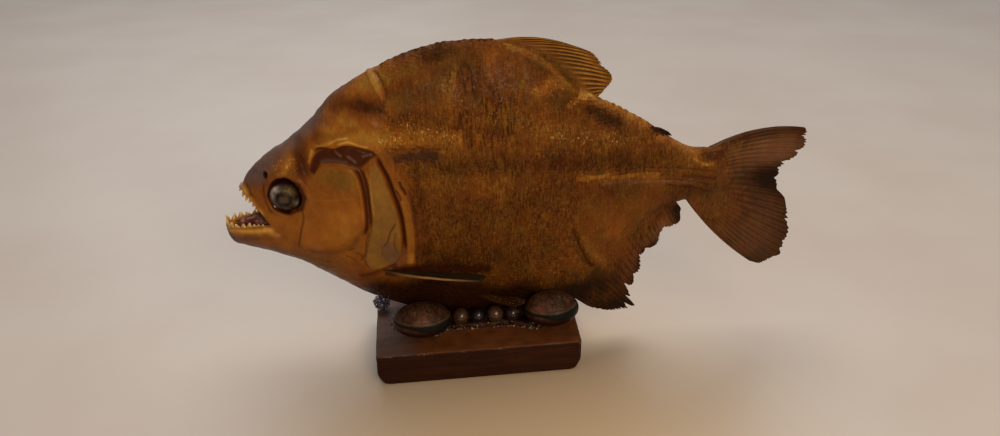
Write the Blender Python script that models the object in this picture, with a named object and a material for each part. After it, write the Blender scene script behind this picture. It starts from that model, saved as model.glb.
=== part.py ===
"""Dried piranha with open jaws, glued upright on a block of varnished wood among beans and seeds.

Frame: the origin is the centre of the block's underside, +Z is up, the snout points to -X and the fish's
left side faces -Y. Every number is in millimetres, and MM turns it into metres. Among the beans and seeds,
"front" is the -Y side of the block, "rear" its +Y side, and "left" its -X end.
"""
import math

import bmesh
import bpy
import numpy as np
from mathutils import Vector

MM = 0.001
GAP = 0.3                     # left between neighbouring pieces

# ---- the block and what is glued on it ----
BLOCK_LENGTH = 74.0
BLOCK_DEPTH = 42.0
BLOCK_HEIGHT = 11.7
BLOCK_SKEW = 2.5              # the right end is sawn out of square
BLOCK_CORNER = 1.6
BLOCK_EDGE = 0.4
BLOCK_END_ROUND = 2.2         # its two ends curve in by this much below
BLOCK_END_HEIGHT = 4.8        # and start to at this height
RESIN_REACH = (31.5, 13.0)    # half sizes of the glue bed
RESIN_DEPTH = 2.0
ON_BLOCK = BLOCK_HEIGHT + GAP
RESIN_TOP = ON_BLOCK + RESIN_DEPTH
SEED_RADIUS = 3.0

# ---- the fish ----
# Mid-line points and widths, from the jaws' tips to the root of the tail. A station's section runs from its
# top point to its bottom point; "widest" is where it is widest, from 0 at the top to 1 at the bottom, "flat"
# is how flat its flank is, and the last two are how round its back and its belly are: 2 is round, 1 a keel.
#    x_top  z_top  x_low  z_low  half  widest flat  back  belly
STATIONS = [
    (-77.2,  71.5, -85.0,  57.7,   1.6, 0.72, 2.0, 2.0, 2.0),
    (-76.5,  73.5, -84.4,  53.7,   3.8, 0.72, 2.0, 2.0, 2.0),
    (-74.8,  76.3, -82.6,  50.9,   5.0, 0.70, 2.0, 2.0, 2.0),
    (-71.8,  79.6, -79.4,  49.3,   6.3, 0.60, 2.3, 2.0, 2.0),
    (-67.0,  83.1, -74.4,  47.8,   7.8, 0.52, 2.6, 2.0, 2.0),
    (-60.0,  87.4, -67.0,  45.0,   9.6, 0.45, 2.9, 1.9, 2.0),
    (-52.5,  93.3, -57.5,  40.1,  11.1, 0.46, 2.8, 1.8, 1.9),
    (-45.5, 100.9, -48.5,  33.5,  12.2, 0.47, 2.7, 1.7, 1.8),
    (-38.0, 106.1, -39.5,  27.1,  12.8, 0.46, 2.6, 1.6, 1.6),
    (-28.0, 111.2, -28.5,  21.3,  12.9, 0.45, 2.6, 1.5, 1.4),
    (-15.0, 115.9, -15.0,  16.5,  12.6, 0.43, 2.5, 1.4, 1.3),
    (  0.0, 117.9,   0.0,  14.6,  12.0, 0.42, 2.5, 1.4, 1.3),
    ( 10.0, 117.5,  12.0,  14.5,  11.4, 0.42, 2.4, 1.4, 1.3),
    ( 20.0, 114.1,  24.0,  14.6,  10.6, 0.42, 2.3, 1.4, 1.3),
    ( 30.0, 107.7,  34.0,  17.1,   9.4, 0.42, 2.2, 1.4, 1.3),
    ( 40.0,  98.7,  43.0,  24.1,   8.0, 0.42, 2.1, 1.5, 1.3),
    ( 50.0,  93.7,  51.0,  33.7,   6.8, 0.44, 2.1, 1.5, 1.4),
    ( 60.0,  88.1,  60.0,  44.3,   5.8, 0.46, 2.1, 1.6, 1.5),
    ( 70.0,  81.1,  69.5,  53.1,   4.9, 0.48, 2.1, 1.8, 1.7),
    ( 78.0,  76.7,  77.5,  55.6,   4.3, 0.50, 2.2, 2.0, 2.0),
    ( 84.0,  76.0,  83.5,  55.7,   3.8, 0.50, 2.3, 2.0, 2.0),
    ( 88.0,  75.5,  88.0,  57.1,   3.0, 0.50, 2.4, 2.0, 2.0),
]
RINGS_PER_STATION = 2
SIDE_POINTS = 13
THIN = 0.05                   # least half width of an inset section, which keeps its two sides apart

# Rims of the open jaws in side view, from the corner of the mouth to the front.
UPPER_RIM = [(-68.5, 59.6), (-69.7, 61.5), (-71.8, 64.7), (-74.0, 68.0), (-76.1, 70.0), (-78.0, 71.9)]
LOWER_RIM = [(-68.5, 59.4), (-74.0, 58.7), (-79.0, 58.0), (-84.2, 57.6)]
FRONT = -95.0                 # cutters end here, in front of the chin
MOUTH_GAPE = UPPER_RIM + [(FRONT, 79.0), (FRONT, 57.3)] + LOWER_RIM[::-1][:-1]
# The hollow behind the rims: the palate, the throat and the floor.
MOUTH_HOLLOW = [(FRONT, 66.7), (-75.6, 68.1), (-75.2, 70.9), (-72.0, 71.1), (-66.5, 68.3), (-61.8, 64.3),
                (-60.0, 60.7), (-62.0, 57.7), (-68.0, 54.9), (-75.0, 53.7), (-81.0, 53.9), (-82.8, 56.1),
                (FRONT, 58.7)]
JAW_WALL = 1.9

# Side-view regions of the pieces of the head.
LOWER_JAW = [(FRONT, 63.7), (-68.5, 59.45), (-64.5, 54.7), (-61.2, 48.2), (-58.6, 36.7), (FRONT, 36.7)]
UPPER_JAW = [(FRONT, 64.1), (-68.4, 59.8), (-66.9, 59.0), (-66.3, 61.2), (-67.9, 65.7), (-70.6, 69.5),
             (-74.2, 72.7), (-77.4, 74.3), (FRONT, 84.7)]
# The edge where the head and the gill covers end, from above the nape to below the throat.
GILL_EDGE = [(-31.0, 125.7), (-31.0, 100.7), (-31.4, 90.7), (-30.3, 83.7), (-27.6, 75.7), (-25.4, 65.7),
             (-24.2, 56.7), (-24.8, 49.2), (-27.8, 43.7), (-33.0, 39.3), (-38.5, 34.2), (-44.0, 20.7)]
COVER_PART = slice(3, 10)     # the stretch of that edge along a gill cover
COVER_FRONT = [(-38.5, 38.2), (-43.0, 41.7), (-40.5, 50.2), (-37.2, 57.7), (-35.8, 67.7), (-36.8, 77.7)]
COVER_DEEP = 7.0              # the flat inner face of a gill cover stands this far from the mid-plane
STALK_FRONT = 62.0            # where the trunk ends and the tail's stalk begins
FAR = 30.0                    # cutters reach this far to each side of the mid-plane,
AHEAD, BEHIND = -100.0, 100.0     # this far along the fish,
BELOW, ABOVE = 5.0, 125.0     # and this far down and up
ROOT_DEPTH = 0.9              # of a tooth, inside the jaw

EYE_CENTRE = (-61.6, 70.3)
EYE_RADIUS = 6.2
EYE_BULGE = 4.5               # half thickness of the lens-shaped eye
EYE_SUNK = 2.7                # how far its centre lies inside the cheek

FIN_THICKNESS = 0.8
FIN_CLEAR = 0.45              # between a fin's root and the body's faceted edge
PECTORAL_HEIGHT = 39.4
PELVIC_HEIGHT = 24.1


# ---- curves and sections ----
def along(points, t):
    """Point at t on the smooth curve through the points, t running from 0 to len(points) - 1."""
    points = np.asarray(points, dtype=float)
    i = min(int(t), len(points) - 2)
    f = t - i
    a, b = points[i], points[i + 1]
    before = points[i - 1] if i > 0 else 2 * a - b
    after = points[i + 2] if i + 2 < len(points) else 2 * b - a
    return 0.5 * (2 * a + (b - before) * f + (2 * before - 5 * a + 4 * b - after) * f ** 2
                  + (3 * a - before - 3 * b + after) * f ** 3)


def curve(points, steps):
    """The smooth curve through the points, sampled at equal steps."""
    return [along(points, t) for t in np.linspace(0.0, len(points) - 1, steps)]


def fullness(t, station):
    """Half width of a station's section at t, from 0 at its top point to 1 at its bottom point."""
    half, widest, flat, back, belly = station[4:]
    span, roundness = (widest, back) if t < widest else (1.0 - widest, belly)
    u = min(abs(t - widest) / span, 1.0)
    return half * max(1.0 - u ** flat, 0.0) ** (1.0 / roundness)


def section(station, inset=0.0):
    """Closed loop of points round a station: down the left side and up the right side."""
    x_top, z_top, x_low, z_low = station[:4]
    left, right = [], []
    for k in range(SIDE_POINTS + 1):
        t = 0.5 - 0.5 * math.cos(math.pi * k / SIDE_POINTS)
        y = max(fullness(t, station) - inset, THIN * math.sin(math.pi * t)) if 0 < k < SIDE_POINTS else 0.0
        x = x_top + (x_low - x_top) * t
        z = z_top + (z_low - z_top) * t
        left.append((x, -y, z))
        if 0 < k < SIDE_POINTS:
            right.append((x, y, z))
    return left + right[::-1]


PROFILE = curve(STATIONS, 40 * len(STATIONS))


def back_line(x):
    """Height of the back's mid-line at x."""
    return float(np.interp(x, [p[0] for p in PROFILE], [p[1] for p in PROFILE]))


def belly_line(x):
    """Height of the belly's mid-line at x."""
    return float(np.interp(x, [p[2] for p in PROFILE], [p[3] for p in PROFILE]))


def half_width(x, z):
    """Half width of the whole body at a point of its side view."""
    def ahead(p):
        return (x - p[0]) * (p[3] - p[1]) - (z - p[1]) * (p[2] - p[0])
    nearest = min(PROFILE, key=lambda p: abs(ahead(p)) / math.hypot(p[2] - p[0], p[3] - p[1]))
    t = (z - nearest[1]) / (nearest[3] - nearest[1])
    return fullness(min(max(t, 0.0), 1.0), nearest)


def offset(points, distance, closed=False):
    """Side-view polyline moved sideways, to its right as it is walked."""
    moved = []
    last = len(points) - 1
    for i, (x, z) in enumerate(points):
        x0, z0 = points[i - 1] if closed else points[max(i - 1, 0)]
        x1, z1 = points[(i + 1) % len(points)] if closed else points[min(i + 1, last)]
        length = math.hypot(x1 - x0, z1 - z0)
        moved.append((x + distance * (z1 - z0) / length, z - distance * (x1 - x0) / length))
    return moved


def grown(outline, distance):
    """Closed side-view outline, grown outwards."""
    area = sum(x0 * z1 - x1 * z0 for (x0, z0), (x1, z1) in zip(outline, outline[1:] + outline[:1]))
    return offset(outline, math.copysign(distance, area), closed=True)


def spaced(path, fractions):
    """Points of a polyline at fractions of its length, each with the direction of travel there."""
    path = [Vector(p) for p in path]
    reached = [0.0]
    for a, b in zip(path, path[1:]):
        reached.append(reached[-1] + (b - a).length)
    found = []
    for fraction in fractions:
        want = fraction * reached[-1]
        i = min(max(k for k, r in enumerate(reached) if r <= want), len(path) - 2)
        a, b = path[i], path[i + 1]
        found.append((a.lerp(b, (want - reached[i]) / (b - a).length), (b - a).normalized()))
    return found


# ---- making objects ----
def material(name, colour, roughness, metallic=0.0):
    made = bpy.data.materials.new(name)
    made.use_nodes = True
    shader = made.node_tree.nodes["Principled BSDF"]
    shader.inputs["Base Color"].default_value = (*colour, 1.0)
    shader.inputs["Roughness"].default_value = roughness
    shader.inputs["Metallic"].default_value = metallic
    return made


def new_object(name, points, faces, look=None, smooth_angle=40.0):
    """Mesh object from points in millimetres, with its faces turned outwards."""
    mesh = bpy.data.meshes.new(name)
    mesh.from_pydata([Vector(p) * MM for p in points], [], faces)
    work = bmesh.new()
    work.from_mesh(mesh)
    bmesh.ops.recalc_face_normals(work, faces=work.faces)
    work.to_mesh(mesh)
    work.free()
    obj = bpy.data.objects.new(name, mesh)
    bpy.context.collection.objects.link(obj)
    if look:
        mesh.materials.append(look)
        mesh.shade_smooth()
        mesh.set_sharp_from_angle(angle=math.radians(smooth_angle))
    return obj


def hide(obj):
    """Mark an object as a cutter or a guide."""
    obj.hide_render = True
    obj.display_type = "WIRE"
    return obj


def loft(name, loops, look=None):
    """Closed body through loops with equal numbers of points."""
    n = len(loops[0])
    points = [p for loop in loops for p in loop]
    faces = [(i * n + k, i * n + (k + 1) % n, (i + 1) * n + (k + 1) % n, (i + 1) * n + k)
             for i in range(len(loops) - 1) for k in range(n)]
    last = (len(loops) - 1) * n
    faces.append(tuple(range(n)))
    faces.append(tuple(range(last, last + n)))
    return new_object(name, points, faces, look)


def prism(name, outline, y_low, y_high):
    """Cutter with a side-view outline, running across the fish from y_low to y_high."""
    return hide(loft(name, [[(x, y, z) for x, z in outline] for y in (y_low, y_high)]))


def boolean(obj, operation, other):
    step = obj.modifiers.new(operation.title() + " " + other.name, "BOOLEAN")
    step.operation = operation
    step.solver = "EXACT"
    step.object = other


def ellipsoid(name, centre, radii, look=None, around=14, rings=8, roll=0.0):
    """Closed ellipsoid, rolled about the vertical by some degrees."""
    work = bmesh.new()
    bmesh.ops.create_uvsphere(work, u_segments=around, v_segments=rings, radius=1.0)
    turn = math.radians(roll)
    points = []
    for vert in work.verts:
        x, y, z = (vert.co[i] * radii[i] for i in range(3))
        points.append((centre[0] + x * math.cos(turn) - y * math.sin(turn),
                       centre[1] + x * math.sin(turn) + y * math.cos(turn), centre[2] + z))
    faces = [tuple(v.index for v in face.verts) for face in work.faces]
    work.free()
    return new_object(name, points, faces, look, smooth_angle=70.0)


def fan(name, base, tips, look, across, root_thickness, bows=(0.0, 0.0), rays=14, steps=5):
    """Fin between its root curve and its tip curve, both listed from its first ray to its last.

    across is the direction of its thickness, which falls from the root to FIN_THICKNESS at the tips, and
    bows say how far the first and the last ray arch out of their straight lines.
    """
    across = Vector(across).normalized()
    sheets = ([], [])
    for i in range(rays):
        u = i / (rays - 1)
        root = Vector(along(base, u * (len(base) - 1)))
        tip = Vector(along(tips, u * (len(tips) - 1)))
        side = (tip - root).cross(across).normalized()
        bow = bows[0] + (bows[1] - bows[0]) * u
        for j in range(steps):
            v = j / (steps - 1)
            point = root.lerp(tip, v) + side * bow * 4.0 * v * (1.0 - v)
            thickness = FIN_THICKNESS + (root_thickness - FIN_THICKNESS) * (1.0 - v) ** 2
            for sheet, sign in zip(sheets, (-0.5, 0.5)):
                sheet.append(tuple(point + across * thickness * sign))
    n = rays * steps
    faces = []
    for i in range(rays - 1):
        for j in range(steps - 1):
            a = i * steps + j
            quad = (a, a + 1, a + steps + 1, a + steps)
            faces.append(quad)
            faces.append(tuple(n + k for k in reversed(quad)))
    rim = ([i * steps for i in range(rays)] + [(rays - 1) * steps + j for j in range(1, steps)]
           + [i * steps + steps - 1 for i in range(rays - 2, -1, -1)] + list(range(steps - 2, 0, -1)))
    for a, b in zip(rim, rim[1:] + rim[:1]):
        faces.append((a, b, n + b, n + a))
    return new_object(name, sheets[0] + sheets[1], faces, look)


def teeth(name, places):
    """Pointed teeth joined in one cutter-like object, each from its root, its tip and its half width."""
    points, faces = [], []
    for root, tip, half, along_rim in places:
        root, tip = Vector(root), Vector(tip)
        edge = Vector(along_rim).normalized() * half
        thick = edge.cross(tip - root).normalized() * half * 0.55
        n = len(points)
        points += [tuple(corner) for corner in (root + edge, root + thick, root - edge, root - thick, tip)]
        faces.append((n, n + 1, n + 2, n + 3))
        faces += [(n + k, n + (k + 1) % 4, n + 4) for k in range(4)]
    return hide(new_object(name, points, faces))


# ---- start from an empty scene ----
for old in list(bpy.data.objects):
    bpy.data.objects.remove(old, do_unlink=True)

SKIN = material("varnished skin", (0.13, 0.055, 0.016), 0.32)
CHEEK = material("bare cheek skin", (0.22, 0.085, 0.018), 0.28)
FIN = material("dried fin", (0.09, 0.035, 0.012), 0.45)
BONE = material("jaw and teeth", (0.55, 0.32, 0.10), 0.35)
TONGUE = material("dried tongue", (0.20, 0.06, 0.035), 0.45)
EYE = material("dried eye", (0.05, 0.035, 0.025), 0.10)
WOOD = material("varnished wood", (0.10, 0.030, 0.014), 0.30)
RESIN = material("glue", (0.16, 0.07, 0.03), 0.15)
BEAN = material("brown bean", (0.13, 0.055, 0.035), 0.22)
SEED = material("glossy seed", (0.03, 0.022, 0.022), 0.12)


# ---- the whole body, with the mouth and the eye sockets cut, as the guide of every piece of it ----
rings = curve(STATIONS, RINGS_PER_STATION * (len(STATIONS) - 1) + 1)
whole = hide(loft("whole_body_guide", [section(ring) for ring in rings]))
front_rings = [ring for ring in rings if ring[0] < EYE_CENTRE[0] + 6.0]
hollow = hide(loft("mouth_inside_guide", [section(ring, JAW_WALL) for ring in front_rings[1:]]))
boolean(hollow, "INTERSECT", prism("mouth_hollow_cutter", MOUTH_HOLLOW, -FAR, FAR))
boolean(whole, "DIFFERENCE", hollow)
boolean(whole, "DIFFERENCE", prism("mouth_gape_cutter", MOUTH_GAPE, -FAR, FAR))
EYE_Y = half_width(*EYE_CENTRE) - EYE_SUNK
for side_name, side in (("left", -1), ("right", 1)):
    socket = ellipsoid("eye_socket_" + side_name, (EYE_CENTRE[0], side * EYE_Y, EYE_CENTRE[1]),
                       (EYE_RADIUS + GAP, EYE_BULGE + GAP, EYE_RADIUS + GAP), around=18, rings=8)
    boolean(whole, "DIFFERENCE", hide(socket))
depsgraph = bpy.context.evaluated_depsgraph_get()
carved = bpy.data.meshes.new_from_object(whole.evaluated_get(depsgraph))


def flesh(name, outline, look):
    """The piece of the body inside a side-view outline."""
    obj = bpy.data.objects.new(name, carved.copy())
    bpy.context.collection.objects.link(obj)
    obj.data.materials.clear()
    obj.data.materials.append(look)
    obj.data.shade_smooth()
    obj.data.set_sharp_from_angle(angle=math.radians(40.0))
    boolean(obj, "INTERSECT", prism(name + "_cell", outline, -FAR, FAR))
    return obj


# ---- head, jaws and gill covers ----
gill_cover = offset(GILL_EDGE[COVER_PART], GAP / 2) + COVER_FRONT
head = flesh("head", offset(GILL_EDGE, GAP / 2) + [(AHEAD, BELOW), (AHEAD, ABOVE)], CHEEK)
boolean(head, "DIFFERENCE", prism("head_lower_jaw_cutter", grown(LOWER_JAW, GAP), -FAR, FAR))
boolean(head, "DIFFERENCE", prism("head_upper_jaw_cutter", grown(UPPER_JAW, GAP), -FAR, FAR))
for side_name, side in (("left", -1), ("right", 1)):
    near, far = sorted((side * (COVER_DEEP - GAP), side * FAR))
    boolean(head, "DIFFERENCE", prism("head_gill_cutter_" + side_name, grown(gill_cover, GAP), near, far))
    cover = flesh("gill_cover_" + side_name, gill_cover, CHEEK)
    near, far = sorted((side * COVER_DEEP, side * FAR))
    one_side = [(AHEAD, BELOW), (BEHIND, BELOW), (BEHIND, ABOVE), (AHEAD, ABOVE)]
    boolean(cover, "INTERSECT", prism("gill_cover_side_" + side_name, one_side, near, far))


def tooth_row(name, rim, count, heights, halves, lean):
    """Teeth along both sides of a jaw's rim, from the front to near the corner of the mouth.

    heights and halves are the first and the last tooth's height above the rim and half width along it.
    """
    path = []
    for x, z in reversed(curve(rim, 20)):
        path.append((x, half_width(x, z) - JAW_WALL / 2, z))
    path = [(path[0][0] - 0.3, 0.0, path[0][2])] + path
    places = []
    for i, (root, onward) in enumerate(spaced(path, [(k + 0.5) / (count + 0.6) for k in range(count)])):
        f = i / (count - 1)
        height = heights[0] + (heights[1] - heights[0]) * f
        half = halves[0] + (halves[1] - halves[0]) * f
        for side in (-1, 1):
            flip = Vector((1, side, 1))
            upright = Vector(lean) - onward * onward.dot(Vector(lean))
            upright.normalize()
            places.append(((root - upright * ROOT_DEPTH) * flip, (root + upright * height) * flip, half,
                           onward * flip))
    return teeth(name, places)


lower_jaw = flesh("lower_jaw", LOWER_JAW, BONE)
lower_teeth = tooth_row("lower_teeth_guide", LOWER_RIM, count=6, heights=(4.2, 1.8), halves=(1.45, 0.95),
                        lean=(0, 0, 1))
boolean(lower_jaw, "UNION", lower_teeth)
upper_jaw = flesh("upper_jaw", UPPER_JAW, BONE)
upper_teeth = tooth_row("upper_teeth_guide", UPPER_RIM, count=5, heights=(1.9, 1.2), halves=(1.1, 0.8),
                        lean=(-0.4, 0, -0.9))
boolean(upper_jaw, "UNION", upper_teeth)
ellipsoid("tongue", (-74.2, 0.0, 56.5), (6.0, 2.6, 1.7), TONGUE, around=14, rings=8)
for side_name, side in (("left", -1), ("right", 1)):
    ellipsoid("eye_" + side_name, (EYE_CENTRE[0], side * EYE_Y, EYE_CENTRE[1]),
              (EYE_RADIUS, EYE_BULGE, EYE_RADIUS), EYE, around=18, rings=8)

# ---- trunk and the tail's stalk ----
trunk_end, stalk_start = STALK_FRONT - GAP / 2, STALK_FRONT + GAP / 2
flesh("trunk", offset(GILL_EDGE, -GAP / 2) + [(trunk_end, BELOW), (trunk_end, ABOVE)], SKIN)
flesh("tail_stalk", [(stalk_start, BELOW), (BEHIND, BELOW), (BEHIND, ABOVE), (stalk_start, ABOVE)], SKIN)

# ---- fins on the mid-line ----
ACROSS = (0, 1, 0)
dorsal_root = [(x, 0.0, back_line(x) + FIN_CLEAR) for x in (9.0, 15.0, 21.0, 27.0, 33.0, 38.5, 43.5)]
dorsal_tips = [(14.0, 0.0, 118.5), (24.0, 0.0, 116.1), (33.0, 0.0, 115.1), (42.0, 0.0, 111.7),
               (46.5, 0.0, 106.7), (49.4, 0.0, 102.7), (45.6, 0.0, 97.3)]
fan("dorsal_fin", dorsal_root, dorsal_tips, FIN, ACROSS, 1.4)
adipose_root = [(x, 0.0, back_line(x) + FIN_CLEAR) for x in (65.5, 67.0, 68.5)]
fan("adipose_fin", adipose_root, [(69.5, 0.0, 83.9), (71.0, 0.0, 82.7), (72.0, 0.0, 81.1)], FIN, ACROSS, 1.0,
    rays=5, steps=3)
anal_root = [(x, 0.0, belly_line(x) - 1.6 * FIN_CLEAR) for x in (36.0, 42.0, 49.0, 56.0, 63.0, 69.0, 74.5)]
anal_tips = [(46.0, 0.0, 11.9), (56.0, 0.0, 10.0), (62.4, 0.0, 11.3), (60.3, 0.0, 18.7), (62.6, 0.0, 29.7),
             (66.5, 0.0, 37.3), (72.0, 0.0, 41.7), (77.6, 0.0, 48.2), (77.4, 0.0, 52.1)]
fan("anal_fin", anal_root, anal_tips, FIN, ACROSS, 1.8, rays=17)
tail_root = [(88.5, 0.0, 76.3), (88.9, 0.0, 71.7), (89.0, 0.0, 66.2), (88.9, 0.0, 60.7), (88.4, 0.0, 55.9),
             (85.0, 0.0, 54.4), (81.0, 0.0, 54.1)]
tail_tips = [(122.6, 0.0, 79.7), (120.6, 0.0, 74.7), (119.0, 0.0, 69.7), (113.6, 0.0, 66.3),
             (113.0, 0.0, 60.7), (116.6, 0.0, 53.7), (119.4, 0.0, 45.7), (120.4, 0.0, 36.7),
             (119.0, 0.0, 30.3), (113.0, 0.0, 27.3), (106.0, 0.0, 28.3)]
fan("tail_fin", tail_root, tail_tips, FIN, ACROSS, 4.6, bows=(3.0, -2.2), rays=19, steps=6)

# ---- paired fins ----
UPWARD = (0, 0, 1)


def beside(x, z):
    """Point just outside the left flank."""
    return (x, -half_width(x, z) - FIN_CLEAR, z)


pectoral_root = [beside(x, PECTORAL_HEIGHT) for x in (-32.0, -30.5, -29.0)]
pectoral_tips = [(2.0, -18.6, 39.1), (3.0, -16.0, 38.9), (-3.0, -13.8, 38.7), (-12.0, -12.9, 38.5)]
pelvic_root = [beside(x, PELVIC_HEIGHT) for x in (1.0, 2.5, 4.0)]
pelvic_tips = [(16.6, -12.6, 24.3), (17.8, -10.4, 24.3), (14.0, -8.2, 24.1)]
for side_name, side in (("left", -1), ("right", 1)):
    for fin, root, tips, bow in (("pectoral", pectoral_root, pectoral_tips, 1.6),
                                 ("pelvic", pelvic_root, pelvic_tips, 0.6)):
        flip = (1, -side, 1)
        base_points = [np.multiply(p, flip) for p in root]
        tip_points = [np.multiply(p, flip) for p in tips]
        fan(fin + "_fin_" + side_name, base_points, tip_points, FIN, UPWARD, 1.6, bows=(-side * bow, 0.0),
            rays=8, steps=5)


# ---- the block, the glue and what is stuck in it ----
def rounded(corners, radius, inset, steps=5):
    """Plan of a four-cornered slab with rounded corners, drawn in by an inset."""
    outline = []
    for i, corner in enumerate(corners):
        corner = Vector(corner)
        back = (Vector(corners[i - 1]) - corner).normalized()
        onward = (Vector(corners[(i + 1) % 4]) - corner).normalized()
        centre = corner + (back + onward) * radius
        for k in range(steps):
            a = math.pi / 2 * k / (steps - 1)
            outline.append(centre - (onward * math.cos(a) + back * math.sin(a)) * (radius - inset))
    return outline


half_length, half_depth = BLOCK_LENGTH / 2, BLOCK_DEPTH / 2
block_levels = (0.0, BLOCK_EDGE, 1.2, 2.2, 3.4, BLOCK_END_HEIGHT, BLOCK_HEIGHT - BLOCK_EDGE, BLOCK_HEIGHT)
block_loops = []
for z in block_levels:
    inset = BLOCK_EDGE if z in (0.0, BLOCK_HEIGHT) else 0.0
    half = half_length - BLOCK_END_ROUND * max(1.0 - z / BLOCK_END_HEIGHT, 0.0) ** 2
    plan = [(-half, -half_depth), (half, -half_depth), (half + BLOCK_SKEW, half_depth), (-half, half_depth)]
    block_loops.append([(p.x, p.y, z) for p in rounded(plan, BLOCK_CORNER, inset)])
loft("base_block", block_loops, WOOD)

RESIN_AROUND = 36
resin_loops = []
for z, spread in ((ON_BLOCK, 1.0), (RESIN_TOP - 0.8, 0.98), (RESIN_TOP, 0.9)):
    loop = []
    for k in range(RESIN_AROUND):
        a = 2 * math.pi * k / RESIN_AROUND
        reach = spread * (1.0 + 0.05 * math.cos(3 * a + 0.6) + 0.03 * math.cos(5 * a))
        loop.append((RESIN_REACH[0] * reach * math.cos(a), RESIN_REACH[1] * reach * math.sin(a), z))
    resin_loops.append(loop)
loft("resin_bed", resin_loops, RESIN)

# Centre, radii and turn about the vertical in degrees.
BEANS = {
    "bean_front_left": ((-19.9, -12.2, 20.6), (10.9, 7.6, 6.2), 4.0),
    "bean_front_right": ((27.2, -11.8, 21.0), (10.2, 7.4, 6.4), -6.0),
    "bean_rear_left": ((-20.4, 12.4, 20.5), (11.0, 7.4, 6.1), -8.0),
    "bean_rear_right": ((28.0, 12.0, 20.6), (10.0, 7.2, 6.2), 7.0),
}
for bean, (centre, radii, roll) in BEANS.items():
    ellipsoid(bean, centre, radii, BEAN, roll=roll)

SEED_ROW = (-11.6, -5.2, 1.2, 7.6, 14.0)
SEED_OUT = 6.7                # from the mid-plane to a seed's centre
FIRST_SEED_OUT = 4.6          # the first stands further in, behind the bean
SEED_DIFFERENCE = 0.2         # every second seed is this much larger in radius
SEED_STAGGER = 0.6            # the rear row is shifted along the block
for side_name, side in (("front", -1), ("rear", 1)):
    for number, x in enumerate(SEED_ROW, start=1):
        radius = SEED_RADIUS - SEED_DIFFERENCE * (number % 2)
        out = SEED_OUT if number > 1 else FIRST_SEED_OUT
        centre = (x + SEED_STAGGER * side, side * out, RESIN_TOP + GAP + radius)
        ellipsoid(f"seed_{side_name}_{number}", centre, (radius, radius, radius), SEED, around=10, rings=6)
heap_left, heap_right = (3.3, 3.8, 3.1), (2.1, 2.4, 3.2)
ellipsoid("seed_heap_left", (-35.0, 11.0, ON_BLOCK + heap_left[2]), heap_left, SEED, around=12, rings=8)
ellipsoid("seed_heap_right", (36.6, -4.4, ON_BLOCK + heap_right[2]), heap_right, SEED, around=10, rings=7)
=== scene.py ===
"""Looks of the mounted piranha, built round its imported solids.

Shapes are worked out in millimetres and turned into metres as each mesh is made. The fish's snout points to
-X, its left flank faces -Y and its mid-plane is Y = 0. "Side view" means the (x, z) plane.
"""
import itertools
import math

import bmesh
import bpy
import numpy as np
from mathutils import Matrix, Vector
from mathutils.bvhtree import BVHTree


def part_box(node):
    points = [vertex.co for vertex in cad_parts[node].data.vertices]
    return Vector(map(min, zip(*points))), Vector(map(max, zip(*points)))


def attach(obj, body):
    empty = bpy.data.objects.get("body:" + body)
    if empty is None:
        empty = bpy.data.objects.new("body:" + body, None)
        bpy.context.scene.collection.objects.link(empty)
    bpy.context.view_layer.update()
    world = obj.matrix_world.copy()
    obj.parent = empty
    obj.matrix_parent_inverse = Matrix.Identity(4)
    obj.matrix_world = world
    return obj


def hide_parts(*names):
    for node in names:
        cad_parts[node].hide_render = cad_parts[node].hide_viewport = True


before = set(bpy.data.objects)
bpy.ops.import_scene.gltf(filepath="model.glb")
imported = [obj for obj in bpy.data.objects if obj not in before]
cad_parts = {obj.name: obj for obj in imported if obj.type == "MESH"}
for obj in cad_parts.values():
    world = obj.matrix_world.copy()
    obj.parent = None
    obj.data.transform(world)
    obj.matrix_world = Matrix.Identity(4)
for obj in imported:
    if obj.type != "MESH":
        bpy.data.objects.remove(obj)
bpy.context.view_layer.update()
MM = 0.001

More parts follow.
